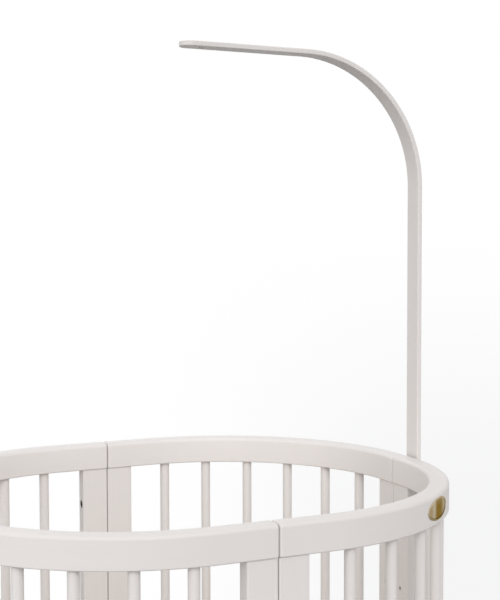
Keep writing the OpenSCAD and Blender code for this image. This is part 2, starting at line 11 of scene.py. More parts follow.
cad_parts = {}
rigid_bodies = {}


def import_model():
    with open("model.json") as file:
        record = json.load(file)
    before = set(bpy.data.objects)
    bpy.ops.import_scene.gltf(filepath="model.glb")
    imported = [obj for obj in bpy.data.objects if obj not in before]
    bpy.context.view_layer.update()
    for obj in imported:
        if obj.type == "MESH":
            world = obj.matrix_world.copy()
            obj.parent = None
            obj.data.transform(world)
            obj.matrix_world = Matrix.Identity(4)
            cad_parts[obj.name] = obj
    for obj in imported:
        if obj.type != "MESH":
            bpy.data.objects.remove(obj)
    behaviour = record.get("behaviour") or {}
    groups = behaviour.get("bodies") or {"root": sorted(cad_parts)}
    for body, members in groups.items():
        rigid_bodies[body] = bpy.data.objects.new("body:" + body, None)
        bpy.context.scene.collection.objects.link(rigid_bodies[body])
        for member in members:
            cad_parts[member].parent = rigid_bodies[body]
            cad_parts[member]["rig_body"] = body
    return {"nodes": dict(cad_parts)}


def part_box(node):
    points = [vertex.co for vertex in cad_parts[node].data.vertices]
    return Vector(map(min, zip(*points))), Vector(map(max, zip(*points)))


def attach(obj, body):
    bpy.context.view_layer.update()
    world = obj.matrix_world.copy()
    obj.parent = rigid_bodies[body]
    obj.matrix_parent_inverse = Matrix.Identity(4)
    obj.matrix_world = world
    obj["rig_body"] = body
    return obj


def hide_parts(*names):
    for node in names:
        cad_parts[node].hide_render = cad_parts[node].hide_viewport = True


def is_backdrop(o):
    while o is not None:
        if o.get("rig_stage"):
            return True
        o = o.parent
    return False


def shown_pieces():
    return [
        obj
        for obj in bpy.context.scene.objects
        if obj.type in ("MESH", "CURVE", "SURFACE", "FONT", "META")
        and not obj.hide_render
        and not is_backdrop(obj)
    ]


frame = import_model()
for leftover in [o for o in bpy.data.objects if "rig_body" not in o and not o.name.startswith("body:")]:
    bpy.data.objects.remove(leftover)
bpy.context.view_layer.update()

bl_info = {
    "name": "Baby cradle",
    "version": (1, 0, 0),
    "blender": (4, 5, 0),
    "location": "3D View > Sidebar > Cradle",
    "description": "Dresses the packed frame of an oval baby cradle with finished surfaces and materials",
    "category": "Object",
}

# ---------------------------------------------------------------- places, read from the frame

QUADRANTS = {"front_right": (1, -1), "back_right": (1, 1), "back_left": (-1, 1), "front_left": (-1, -1)}
POSTS = ("front", "right", "back", "left")
HALVES = ("front_left", "front_right", "right_front", "right_back",
          "back_right", "back_left", "left_back", "left_front")

RAIL_LOW, RAIL_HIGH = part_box("top_rail_back_right")
LOW_RAIL_LOW, LOW_RAIL_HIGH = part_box("low_rail_back_right")
BARS_LOW, BARS_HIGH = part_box("bars_back_right")
NUTS_LOW, NUTS_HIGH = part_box("joint_nuts")
INSERTS_LOW, INSERTS_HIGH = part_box("base_inserts")
POST_LOW, POST_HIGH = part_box("post_back_right")
ROD_LOW, ROD_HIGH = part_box("canopy_rod")
PLATE_LOW, PLATE_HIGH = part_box("oval_plate")
HOLDER_LOW, HOLDER_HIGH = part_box("rod_holder")
BASE_LOW, BASE_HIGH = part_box("base_ring")
SLATS_LOW, SLATS_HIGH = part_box("base_slats")
BRACKETS_LOW, BRACKETS_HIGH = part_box("base_brackets")

# Half lengths of the ring's middle line, and the half-posts' sides
HALF_W = (POST_LOW.y + POST_HIGH.y) / 2
HALF_L = HALF_W + RAIL_HIGH.x - RAIL_HIGH.y
RAIL_HALF = RAIL_HIGH.y - HALF_W
POST_OUT_Y = POST_HIGH.y
POST_SIDE = POST_HIGH.x
POST_THICK = POST_HIGH.y - POST_LOW.y
POST_MIDDLE = {"front": (0.0, -HALF_W), "right": (HALF_L, 0.0), "back": (0.0, HALF_W), "left": (-HALF_L, 0.0)}
FACING = {"front": -math.pi / 2, "right": 0.0, "back": math.pi / 2, "left": math.pi}

# Radius of a sawn end's edge, and of a wood screw's head
SAWN_EDGE = 0.0008
SCREW_RADIUS = 0.004

NUT_RADIUS, INSERT_RADIUS = 0.0065, 0.0045
BOLT_Z = np.linspace(NUTS_LOW.z + NUT_RADIUS, NUTS_HIGH.z - NUT_RADIUS, 3)
INSERT_Z = np.linspace(INSERTS_LOW.z + INSERT_RADIUS, INSERTS_HIGH.z - INSERT_RADIUS, 3)

# The oval plate: half its length along the rail's face and half its height, how far it lies from the middle of the
# quarter, and how deep it sits in the rail and stands out of it
PLATE_HALF_U, PLATE_HALF_V = 0.0405, (PLATE_HIGH.z - PLATE_LOW.z) / 2
PLATE_SHIFT = 0.005
PLATE_SINK, PLATE_PROUD = 0.0012, 0.0003

SLAT_WIDTH = 0.064
SLAT_PLACES = np.linspace(SLAT_WIDTH / 2 - SLATS_HIGH.x, SLATS_HIGH.x - SLAT_WIDTH / 2, 7)

# Castors: the wheels' middles, how far an axle trails its swivel, and a brake pin's place from the swivel
WHEEL = {post: sum(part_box("castor_tyre_" + post), Vector()) / 2 for post in POSTS}
AXLE_Z = WHEEL["front"].z
TRAIL = 0.015
BRAKED = ("front", "back")
PIN_X, PIN_Z = -0.004, 0.050

# ---------------------------------------------------------------- what a user would change


def length(name, text, value):
    return FloatProperty(name=name, description=text, default=value, min=0.0, unit="LENGTH", precision=4)


def colour(name, text, value):
    return FloatVectorProperty(name=name, description=text, default=value, min=0.0, max=1.0, size=3, subtype="COLOR")


def amount(name, text, value, high=1.0):
    return FloatProperty(name=name, description=text, default=value, min=0.0, max=high)


class CRADLE_PG_shape(bpy.types.PropertyGroup):
    """Sizes of the finished surfaces, in metres."""

    corner: length("Ring corner", "Radius of the ring's corners at the middle of the rail", 0.316)
    top_edge: length("Top edge", "Radius of the top rails' upper edges", 0.006)
    low_edge: length("Lower edge", "Radius of the rails' lower edges", 0.0022)
    seam_edge: length("Seam edge", "Radius of the rails' edges at a seam", 0.0032)
    post_edge: length("Post edge", "Radius of the half-posts' upright edges", 0.0024)
    bar_pitch: length("Bar spacing", "Distance along the ring from one bar to the next", 0.075)
    rod_edge: length("Rod edge", "Radius of the canopy rod's long edges", 0.0016)
    rod_bend: length("Rod bend", "Radius of the canopy rod's bend, at its middle", 0.206)
    board_edge: length("Board edge", "Radius of the base boards' edges", 0.0025)
    moulded_edge: length("Moulded edge", "Radius of the rod holder's edges", 0.0015)
    plate_rim: length("Plate rim", "Width of the oval plate's raised rim", 0.0022)


class CRADLE_PG_finish(bpy.types.PropertyGroup):
    """Colours and gloss of the finishes."""

    paint: colour("Paint", "Satin paint on the wood", (0.730, 0.695, 0.676))
    paint_gloss: amount("Paint roughness", "Roughness of the paint", 0.50)
    birch: colour("Birch", "Bare birch of the mattress base", (0.66, 0.50, 0.33))
    zinc: colour("Zinc", "Bright zinc plate on the steel", (0.62, 0.63, 0.65))
    brass: colour("Brass", "Brushed brass of the oval plate", (0.26, 0.165, 0.040))
    # Colour of the pale bands painted on the oval plate as reflections of the room and lamps in the brass
    brass_painted_reflection: colour("Brass bands", "Pale bands in the plate's brushing", (0.57, 0.50, 0.39))
    moulded: colour("Moulded parts", "Plastic of the holder, hubs and levers", (0.68, 0.65, 0.62))
    rubber: colour("Rubber", "Rubber of the tyres", (0.085, 0.085, 0.09))


class CRADLE_PG_studio(bpy.types.PropertyGroup):
    """Camera and light."""

    eye: FloatVectorProperty(name="Camera", description="Place of the camera", size=3, subtype="TRANSLATION",
                             default=(-0.7078, -1.77857, 1.23027))
    lens: FloatProperty(name="Lens", description="Focal length, in millimetres on a 36 mm sensor", default=76.286)
    turn: FloatProperty(name="Turn", description="Camera's turn to the right of +Y", default=0.4374, subtype="ANGLE")
    dip: FloatProperty(name="Dip", description="How far the camera looks down", default=0.0542, subtype="ANGLE")
    roll: FloatProperty(name="Roll", description="Camera's roll", default=-0.0023, subtype="ANGLE")
    horizon: amount("Light from around", "Strength of the even light from the room's white walls", 1.19, 4.0)
    zenith: amount("Light from above", "Strength of the even light from straight above", 0.39, 4.0)
    front: amount("Front light", "Strength of the lamp in front of the cradle", 1.40, 20.0)
    side: amount("Side light", "Strength of the low lamp on the cradle's left", 0.68, 20.0)
    back: amount("Back light", "Strength of the lamp behind the cradle, on its right", 0.40, 20.0)


# ---------------------------------------------------------------- shader toolkit


class Socket:
    """A value in a shader: Python's operators on it add Math nodes."""

    def __init__(self, nodes, output):
        self.nodes = nodes
        self.output = output

    def __add__(self, other):
        return self.nodes.maths("ADD", self, other)

    def __radd__(self, other):
        return self.nodes.maths("ADD", other, self)

    def __sub__(self, other):
        return self.nodes.maths("SUBTRACT", self, other)

    def __rsub__(self, other):
        return self.nodes.maths("SUBTRACT", other, self)

    def __mul__(self, other):
        return self.nodes.maths("MULTIPLY", self, other)

    def __rmul__(self, other):
        return self.nodes.maths("MULTIPLY", other, self)

    def __truediv__(self, other):
        return self.nodes.maths("DIVIDE", self, other)

    def __pow__(self, other):
        return self.nodes.maths("POWER", self, other)

    def __abs__(self):
        return self.nodes.maths("ABSOLUTE", self)

    def most(self, other):
        """The greater of two values."""
        return self.nodes.maths("MAXIMUM", self, other)

    def rise(self, low, high):
        """0 below low, 1 above high, and a smooth step between them."""
        return self.nodes.node("ShaderNodeMapRange", {"interpolation_type": "SMOOTHSTEP", "clamp": True},
                               {0: self, 1: low, 2: high, 3: 0.0, 4: 1.0})


class Nodes:
    """A shader's node tree, and the one way its nodes are made."""

    def __init__(self, tree):
        self.tree = tree
        tree.nodes.clear()

    def node(self, kind, settings=None, inputs=None, output=0):
        """A node of a kind: its settings first, a ramp's stops among them, and then its sockets' values and links."""
        made = self.tree.nodes.new(kind)
        for name, value in (settings or {}).items():
            if name == "stops":
                stops = made.color_ramp.elements
                while len(stops) < len(value):
                    stops.new(1.0)
                for stop, (place, shade) in zip(stops, value):
                    stop.position = place
                    stop.color = (*shade, 1.0)
            else:
                setattr(made, name, value)
        for name, value in (inputs or {}).items():
            if isinstance(value, Socket):
                self.tree.links.new(value.output, made.inputs[name])
            else:
                made.inputs[name].default_value = value
        return Socket(self, made.outputs[output]) if made.outputs else None

    def maths(self, operation, *values):
        """A Math node of values in this order."""
        return self.node("ShaderNodeMath", {"operation": operation}, dict(enumerate(values)))

    def place(self, scale=(1, 1, 1), turn=(0, 0, 0), source="Object"):
        """Coordinates of the surface, scaled and turned."""
        start = self.node("ShaderNodeTexCoord", output=source)
        return self.node("ShaderNodeMapping", {}, {"Vector": start, "Scale": scale, "Rotation": turn})

    def noise(self, place, scale, detail=2.0, roughness=0.5):
        """Noise from 0 to 1, with about scale patches to the metre."""
        return self.node("ShaderNodeTexNoise", {}, {"Vector": place, "Scale": scale, "Detail": detail,
                                                    "Roughness": roughness})

    def split(self, place, axis):
        """One of a vector's three values."""
        return self.node("ShaderNodeSeparateXYZ", {}, {0: place}, output=axis)

    def between(self, factor, first, second):
        """A colour from first to second as factor goes from 0 to 1."""
        values = [v if isinstance(v, Socket) else (*v, 1.0) for v in (first, second)]
        return self.node("ShaderNodeMix", {"data_type": "RGBA"}, {0: factor, 6: values[0], 7: values[1]}, output=2)

    def bump(self, height, distance, strength):
        """The surface's direction over bumps distance metres high."""
        return self.node("ShaderNodeBump", {}, {"Height": height, "Distance": distance, "Strength": strength})

    def principled(self, **sockets):
        """The finished surface; a socket's name has _ for each space."""
        shader = self.node("ShaderNodeBsdfPrincipled", {},
                           {name.replace("_", " "): value for name, value in sockets.items()})
        self.node("ShaderNodeOutputMaterial", {}, {"Surface": shader})


def scaled(shade, share):
    """A colour times share, held at 1."""
    return tuple(min(1.0, c * share) for c in shade)


def new_finish(name):
    """A new material and its emptied node tree."""
    material = bpy.data.materials.new(name)
    material.use_nodes = True
    return material, Nodes(material.node_tree)


def painted_wood(n, grain, source="Object"):
    """Satin paint over fine wood: the grain telegraphs through as long faint ridges, with the roller's texture on top.
    grain is the coordinates' scale, smallest along the grain."""
    wanted = bpy.context.scene.cradle_finish
    paint = tuple(wanted.paint)
    along = n.place(grain, source=source)
    here = n.place()
    ridges = n.noise(along, 260.0, 3.0, 0.6)
    pores = n.noise(along, 900.0, 2.0).rise(0.56, 0.72)
    roller = n.noise(here, 1300.0, 1.0)
    drift = n.noise(here, 4.5, 2.0)
    shade = (ridges - 0.5) * 0.45 + (drift - 0.5) * 0.9 + 0.5 - pores * 0.18
    n.principled(
        Base_Color=n.between(shade, scaled(paint, 0.955), scaled(paint, 1.035)),
        Roughness=(roller - 0.5) * 0.16 + pores * 0.08 + wanted.paint_gloss,
        Specular_IOR_Level=0.28,
        Normal=n.bump(ridges * 0.5 + roller * 0.12 - pores * 0.12, 0.00018, 0.55),
    )


def bare_birch(n, grain, plies=0.0):
    """Bare birch: growth bands that wander along the grain, short dark flecks and a silky sheen.
    With plies, the height is cut into layers of that thickness, every other one of end grain."""
    birch = tuple(bpy.context.scene.cradle_finish.birch)
    along = n.place(grain)
    here = n.place()
    wander = n.noise(along, 9.0, 2.0)
    bands = n.noise(along, 70.0, 4.0, 0.65)
    fibres = n.noise(along, 800.0, 3.0)
    flecks = n.noise(n.place(tuple(3.2 * g for g in grain)), 150.0, 1.0).rise(0.66, 0.72)
    figure = (bands - 0.5) * 1.3 + (wander - 0.5) * 0.9 + 0.5
    tone = n.between(figure, scaled(birch, 0.80), scaled(birch, 1.18))
    tone = n.between(flecks * 0.35, tone, scaled(birch, 0.50))
    height = fibres * 0.5 + bands * 0.3 - flecks * 0.3
    if plies:
        layer = n.maths("PINGPONG", n.split(here, 2) / plies, 1.0)
        cross = layer.rise(0.44, 0.56)
        glue = 1.0 - abs(layer - 0.5).rise(0.0, 0.12)
        pits = n.noise(here, 1500.0, 2.0)
        tone = n.between(cross * (pits * 0.5 + 0.3), tone, scaled(birch, 0.62))
        tone = n.between(glue * 0.35, tone, scaled(birch, 0.38))
        height = height + cross * pits * 0.6
    n.principled(Base_Color=tone, Roughness=fibres * 0.18 + 0.48, Normal=n.bump(height, 0.00025, 0.5))


def zinc_steel(n):
    """Bright zinc plate: faint cloudy passivation and fine rubbing marks."""
    zinc = tuple(bpy.context.scene.cradle_finish.zinc)
    here = n.place()
    clouds = n.noise(here, 45.0, 3.0, 0.6)
    rubbed = n.noise(n.place((1, 1, 0.12), (0.3, 0.5, 0.2)), 1500.0, 2.0)
    cool = scaled(zinc, 1.06)
    warm = (zinc[0] * 0.93, zinc[1] * 0.90, zinc[2] * 0.84)
    n.principled(Base_Color=n.between(clouds, warm, cool), Metallic=1.0,
                 Roughness=(clouds - 0.5) * 0.22 + (rubbed - 0.5) * 0.16 + 0.36,
                 Normal=n.bump(rubbed * 0.6 + clouds * 0.4, 0.00008, 0.4))


def black_oxide(n):
    """Blackened steel of the joint bolts: deep grey with a faint brown bloom and rubbed high spots. Its near-black also
    stands in as painted shade for the dark inside of the half-posts' counterbores.
    """
    here = n.place()
    bloom = n.noise(here, 180.0, 3.0, 0.6)
    rubbed = n.noise(here, 900.0, 2.0).rise(0.58, 0.74)
    tone = n.between(bloom, (0.030, 0.029, 0.030), (0.062, 0.056, 0.050))
    n.principled(Base_Color=n.between(rubbed * 0.4, tone, (0.15, 0.15, 0.155)), Metallic=1.0,
                 Roughness=(bloom - 0.5) * 0.2 + 0.42, Normal=n.bump(bloom + rubbed * 0.3, 0.00006, 0.4))


# Painted reflection bands across the plate, pale where the brass would mirror the bright room and lamps, from its left
# to its right end, and how pale each is
PAINTED_REFLECTION_BANDS = ((0.0, 0.95), (0.05, 0.72), (0.10, 0.50), (0.15, 0.50), (0.19, 0.62), (0.24, 0.88), (0.28, 1.0),
               (0.32, 0.82), (0.355, 0.42), (0.39, 0.08), (0.43, 0.0), (0.66, 0.0), (0.70, 0.3), (0.75, 0.65),
               (0.82, 0.85), (0.87, 0.95), (0.92, 0.7), (1.0, 0.85))


def brushed_brass(n):
    """Brass brushed upright, with pale bands of painted reflection across it; the field is paler towards its top as a
    painted highlight.
    The rim is paler than the field, lighter at its top as a painted highlight and darker at its bottom as painted
    shade, and the groove inside it is darkened as painted shade, most at the bottom. It reads the plate's own UV map,
    metres along and up from its middle. The way in from the edge is f / |grad f|, with f = 1 - (u / a)^2 - (v / b)^2."""
    wanted = bpy.context.scene.cradle_finish
    brass = tuple(wanted.brass)
    rim = bpy.context.scene.cradle_shape.plate_rim
    flat = n.place(source="UV")
    u, v = n.split(flat, 0), n.split(flat, 1)
    wide, tall = u / PLATE_HALF_U, v / PLATE_HALF_V
    slope = ((wide / PLATE_HALF_U) ** 2 + (tall / PLATE_HALF_V) ** 2 + 1.0) ** 0.5
    inside = (1.0 - wide * wide - tall * tall) / (slope * 2.0)
    brushed = n.noise(n.place((1, 0.02, 1), source="UV"), 2600.0, 2.0)
    aged = n.noise(flat, 110.0, 3.0, 0.6)
    along = (u + (aged - 0.5) * 0.003) / (2 * PLATE_HALF_U) + 0.5
    # Painted reflection: pale upright bands across the plate stand in for the room and lamps mirrored in the brass.
    bands = n.node("ShaderNodeValToRGB", {"stops": [(place, (pale,) * 3) for place, pale in PAINTED_REFLECTION_BANDS]}, {0: along})
    dark = n.between((brushed - 0.5) * 0.9 + (aged - 0.5) * 0.8 + 0.5, scaled(brass, 0.78), scaled(brass, 1.22))
    # The field grows paler towards its top: a painted highlight for light from above, added to the painted reflection
    # bands.
    tone = n.between(bands + v.rise(0.002, 0.014) * 0.25, dark, tuple(wanted.brass_painted_reflection))
    # Painted shade: the groove inside the rim is darkened, far more along the plate's lower half.
    groove = abs(inside - rim - 0.0006).rise(0.0012, 0.0004)
    tone = n.between(groove * v.rise(0.010, -0.012) * 0.8 + groove * 0.1, tone, scaled(brass, 0.32))
    # The rim is paler than the field: lighter at its top as a painted highlight, darker at its bottom as painted shade.
    rim_polish_and_highlight = inside.rise(rim + 0.0002, rim - 0.0003)
    tone = n.between(rim_polish_and_highlight * 0.85, tone, n.between(v.rise(-0.012, 0.010), (0.40, 0.33, 0.20), (0.72, 0.62, 0.45)))
    n.principled(Base_Color=tone, Metallic=1.0, Roughness=aged * 0.14 + groove * 0.2 + 0.20,
                 Specular_Tint=(0.60, 0.53, 0.40, 1.0), Normal=n.bump(brushed, 0.00003, 0.5))


def moulded_plastic(n):
    """Matt moulded plastic with a fine sparked texture."""
    shade = tuple(bpy.context.scene.cradle_finish.moulded)
    here = n.place()
    spark = n.noise(here, 2200.0, 2.0, 0.6)
    flow = n.noise(here, 14.0, 2.0)
    n.principled(Base_Color=n.between(flow, scaled(shade, 0.965), scaled(shade, 1.03)),
                 Roughness=(spark - 0.5) * 0.2 + 0.50, Normal=n.bump(spark, 0.00012, 0.45))


def tyre_rubber(n):
    """Soft rubber with floor dust on the tread and scuffs round it. It reads the tyre's own UV map:
    metres round the wheel, and metres out from its inner edge."""
    rubber = tuple(bpy.context.scene.cradle_finish.rubber)
    here = n.place()
    grain = n.noise(here, 1600.0, 2.0)
    scuff = n.noise(n.place((0.12, 1, 1), source="UV"), 700.0, 3.0, 0.6).rise(0.5, 0.75)
    dust = n.split(n.place(source="UV"), 1).rise(0.0085, 0.013) * n.noise(here, 120.0, 3.0)
    tone = n.between(dust * 0.55, rubber, (0.32, 0.31, 0.30))
    n.principled(Base_Color=n.between(scuff * 0.25, tone, (0.26, 0.26, 0.26)),
                 Roughness=0.78 - scuff * 0.12, Normal=n.bump(grain + scuff * 0.5, 0.0001, 0.5))


# Each finish's slot in the part's record, and what makes its nodes
FINISHES = {
    "paint_upright": ("painted_wood", lambda n: painted_wood(n, (1.0, 1.0, 0.02))),
    "paint_along": ("painted_wood", lambda n: painted_wood(n, (0.02, 1.0, 1.0), "UV")),
    "birch_ring": ("bare_wood", lambda n: bare_birch(n, (0.05, 1.0, 1.0), plies=0.0014)),
    "birch_slats": ("bare_wood", lambda n: bare_birch(n, (1.0, 0.035, 1.0))),
    "birch_dowels": ("bare_wood", lambda n: bare_birch(n, (1.0, 1.0, 0.05))),
    "zinc": ("zinc_steel", zinc_steel),
    "black_oxide": ("dark_steel", black_oxide),
    "brushed_brass": ("plate_brass", brushed_brass),
    "moulded": ("moulded_plastic", moulded_plastic),
    "rubber": ("tyre_rubber", tyre_rubber),
}
MATERIALS = {}


def finish(name):
    """A finish's material, made when it is first asked for."""
    if name not in MATERIALS:
        MATERIALS[name], nodes = new_finish(name)
        FINISHES[name][1](nodes)
    return MATERIALS[name]


# ---------------------------------------------------------------- surfaces


def arc(start, stop, steps):
    """Angles in radians from start to stop degrees, evenly spaced."""
    return np.linspace(math.radians(start), math.radians(stop), steps + 1)


def arc_points(x, y, radius, start, stop, steps):
    """Points on an arc: (x + r cos a, y + r sin a), with a from start to stop, in degrees."""
    a = arc(start, stop, steps)
    return np.stack([x + radius * np.cos(a), y + radius * np.sin(a)], -1)


def soft_section(width, height, top_r, low_r, inset=0.0, steps=5):
    """Rectangle on z = 0 with round corners, drawn in by inset: each corner is a quarter circle of radius
    r - inset. Every row of inset gives a row of points (across, up)."""
    inset = np.atleast_1d(np.asarray(inset, float))[:, None]
    across, up = [], []
    for start, side, top in ((-90, 1, 0), (0, 1, 1), (90, -1, 1), (180, -1, 0)):
        angle = arc(start, start + 90, steps)
        r = np.maximum((top_r if top else low_r) - inset, 0.00002)
        across.append(side * (width / 2 - inset - r) + r * np.cos(angle))
        up.append((height - inset - r if top else inset + r) + r * np.sin(angle))
    return np.concatenate(across, 1), np.concatenate(up, 1)


def soft_ends(start, stop, radius, steps=4, pitch=0.006):
    """Stations from start to stop, and how far the section is drawn in at each: both ends turn in along a
    quarter circle."""
    turn = arc(90, 0, steps)
    head, drawn = start + radius * (1 - np.sin(turn)), radius * (1 - np.cos(turn))
    count = max(2, int((stop - start) / pitch))
    middle = np.linspace(head[-1], stop - radius, count + 1)[1:-1]
    return (np.concatenate([head, middle, (start + stop - head)[::-1]]),
            np.concatenate([drawn, np.zeros(len(middle)), drawn[::-1]]))


def ring_path(s, corner, half_l=HALF_L, half_w=HALF_W):
    """Point and outward direction on a quarter of the ring, s metres from its +Y seam: a straight, a quarter
    circle of radius corner, and a straight."""
    across, up = half_l - corner, half_w - corner
    angle = np.clip((s - across) / corner, 0, np.pi / 2)
    out = np.stack([np.sin(angle), np.cos(angle)], -1)
    middle = np.stack([np.minimum(s, across), up - np.maximum(s - across - corner * np.pi / 2, 0)], -1)
    return middle + corner * out, out


def quarter_length(corner, half_l=HALF_L, half_w=HALF_W):
    """Length of a quarter of the ring: two straights and a quarter circle."""
    return half_l - corner + corner * math.pi / 2 + half_w - corner


def grid_faces(rows, cols, wrap_rows=False):
    """Quads of a grid of points, row by row; the last row may join the first."""
    i = np.arange(rows if wrap_rows else rows - 1)[:, None]
    j = np.arange(cols - 1)[None, :]
    below = (i + 1) % rows
    quads = np.stack([i * cols + j, i * cols + j + 1, below * cols + j + 1, below * cols + j], -1)
    return quads.reshape(-1, 4).tolist()


def closed(rows):
    """Rows with their first column repeated at the end."""
    return np.concatenate([rows, rows[:, :1]], 1)


def round_section(across, up):
    """Metres round each closed section, from its first point and back to it."""
    steps = np.hypot(np.diff(closed(across), axis=1), np.diff(closed(up), axis=1))
    return np.concatenate([np.zeros((len(steps), 1)), np.cumsum(steps, 1)], 1)


def moved(points, place):
    """Points carried to a place, a 4 x 4 matrix."""
    return points @ np.array(place.to_3x3()).T + np.array(place.translation)


class Skin:
    """Points and faces of one piece, gathered from several surfaces, and each point's place in the flow of the grain,
    in metres, which becomes the UV map. A method that adds a surface returns the skin."""

    def __init__(self):
        self.points, self.faces, self.flow = [], [], []
        self.count = 0

    def add(self, points, faces, flow=None):
        points = np.asarray(points, float).reshape(-1, 3)
        self.points.append(points)
        self.faces += [[v + self.count for v in face] for face in faces]
        self.flow.append(np.zeros((len(points), 2)) if flow is None else np.asarray(flow, float).reshape(-1, 2))
        self.count += len(points)
        return self

    def tube(self, grid, flow=None, loop=False, folded=False):
        """A closed skin from rows of closed sections, whose first column is repeated, so that the closing strip has
        its own share of the flow. Each end is closed by one flat face; a loop has none, and neither has the last row
        where it is folded onto itself."""
        grid = closed(grid)
        rows, cols = grid.shape[:2]
        faces = grid_faces(rows, cols, wrap_rows=loop)
        if not loop:
            faces.append(list(range(cols - 1))[::-1])
        if not loop and not folded:
            faces.append([(rows - 1) * cols + k for k in range(cols - 1)])
        return self.add(grid, faces, flow)

    def lathe(self, profile, steps=48, place=None):
        """Profile (radius, height) turned about Z: x = r cos t, y = r sin t. Points on the axis become one."""
        profile = np.asarray(profile, float)
        t = np.linspace(0, 2 * np.pi, steps + 1)
        ring = np.stack([np.cos(t), np.sin(t)], -1)
        points = np.concatenate([profile[:, None, :1] * ring[None], np.repeat(profile[:, None, 1:], steps + 1, 1)], -1)
        along = np.concatenate([[0], np.cumsum(np.hypot(*np.diff(profile, axis=0).T))])
        flow = np.stack(np.broadcast_arrays(t[None, :] * profile[:, 0].max(), along[:, None]), -1)
        faces = grid_faces(len(profile), steps + 1)
        points = points.reshape(-1, 3)
        if place is not None:
            points = moved(points, place)
        return self.add(points, faces, flow)

    def slab(self, outline, low, high, edge, place=None, steps=3):
        """A plate between two heights with round edges. outline is a closed line of points (x, y), and each edge
        turns in along a quarter circle, at right angles to the line."""
        outline = np.asarray(outline, float)
        ahead, behind = np.roll(outline, -1, 0) - outline, outline - np.roll(outline, 1, 0)
        tangent = ahead / np.linalg.norm(ahead, axis=1)[:, None] + behind / np.linalg.norm(behind, axis=1)[:, None]
        tangent /= np.linalg.norm(tangent, axis=1)[:, None]
        inward = np.stack([-tangent[:, 1], tangent[:, 0]], -1)
        if np.sum(outline[:, 0] * np.roll(outline[:, 1], -1) - outline[:, 1] * np.roll(outline[:, 0], -1)) < 0:
            inward = -inward
        heights, drawn = soft_ends(low, high, edge, steps, pitch=high - low)
        grid = np.concatenate([outline[None] + drawn[:, None, None] * inward[None],
                               np.broadcast_to(heights[:, None, None], (len(heights), len(outline), 1))], -1)
        if place is not None:
            grid = moved(grid, place)
        return self.tube(grid)

    def copies(self, places):
        """The skin repeated at each place."""
        points, flow = np.concatenate(self.points), np.concatenate(self.flow)
        faces, many = self.faces, Skin()
        for place in places:
            many.add(moved(points, place), faces, flow)
        return many

    def mesh(self, name):
        """The skin as a mesh, with points that fall together made one and all faces outwards."""
        mesh = bpy.data.meshes.new(name)
        mesh.from_pydata(np.concatenate(self.points), [], self.faces)
        layer = mesh.uv_layers.new(name="flow")
        corners = np.empty(len(mesh.loops), np.int32)
        mesh.loops.foreach_get("vertex_index", corners)
        layer.data.foreach_set("uv", np.concatenate(self.flow)[corners].astype(np.float32).ravel())
        tidy = bmesh.new()
        tidy.from_mesh(mesh)
        bmesh.ops.remove_doubles(tidy, verts=tidy.verts, dist=1e-7)
        bmesh.ops.recalc_face_normals(tidy, faces=tidy.faces)
        tidy.to_mesh(mesh)
        tidy.free()
        return mesh


def in_scene(name, data):
    """A new object of the scene: a mesh, lamp or camera."""
    made = bpy.data.objects.new(name, data)
    bpy.context.scene.collection.objects.link(made)
    return made


def new_piece(name, skin):
    """An object made from a skin, before its finish."""
    return in_scene(name, skin.mesh(name))


def finish_piece(piece, material, body, node, sharp=38.0):
    piece.data.materials.clear()
    piece.data.materials.append(finish(material))
    piece.data.shade_smooth()
    piece.data.set_sharp_from_angle(angle=math.radians(sharp))
    even = piece.modifiers.new("Even normals", "WEIGHTED_NORMAL")
    even.mode = "FACE_AREA"
    even.keep_sharp = True
    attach(piece, body)
    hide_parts(node)


def cut(piece, cutters):
    """Takes the cutters' skin out of the piece and applies the change."""
    tool = new_piece("cutter", cutters)
    step = piece.modifiers.new("Cut", "BOOLEAN")
    step.operation = "DIFFERENCE"
    step.solver = "EXACT"
    step.object = tool
    bpy.context.view_layer.update()
    cut_mesh = bpy.data.meshes.new_from_object(piece.evaluated_get(bpy.context.evaluated_depsgraph_get()))
    piece.modifiers.remove(step)
    piece.data = cut_mesh
    bpy.data.objects.remove(tool)


def dress(node, material):
    """Gives a carried-over CAD node its finish."""
    made = frame["nodes"][node]
    for slot in made.material_slots:
        slot.material = finish(material)


def turned(x, y, z, about_z=0.0, tilt=None):
    """Place at x, y, z, turned about Z, and then tilted by a matrix of its own."""
    place = Matrix.Translation((x, y, z)) @ Matrix.Rotation(about_z, 4, "Z")
    return place @ tilt if tilt is not None else place


LYING = Matrix.Rotation(math.pi / 2, 4, "X")
OUTWARD = Matrix.Rotation(math.pi / 2, 4, "Y")

# ---------------------------------------------------------------- rails


def rail_skin(signs, low, high, top_r, low_r, start, stop, end_r, square_at=None):
    """One rail: a soft rectangle carried along a quarter of the ring. With square_at, the far end lies in the
    plane at that distance from the ring's axis, so the last stretch is sheared towards it."""
    stretch = 0.08
    corner = bpy.context.scene.cradle_shape.corner
    s, drawn = soft_ends(start, stop, end_r)
    across, up = soft_section(2 * RAIL_HALF, high - low, top_r, low_r, drawn)
    s = np.broadcast_to(s[:, None], across.shape)
    if square_at is not None:
        straight_x, straight_y = HALF_L - corner, HALF_W - corner
        true_end = straight_x + corner * np.arccos((square_at - straight_y) / (corner + across))
        share = np.clip((s - stop + stretch) / stretch, 0, 1)
        s = s + share * (true_end - stop)
    middle, out = ring_path(s, corner)
    xy = (middle + across[..., None] * out) * np.array(signs)
    return Skin().tube(np.concatenate([xy, (low + up)[..., None]], -1),
                       np.stack([closed(s), round_section(across, up)], -1))


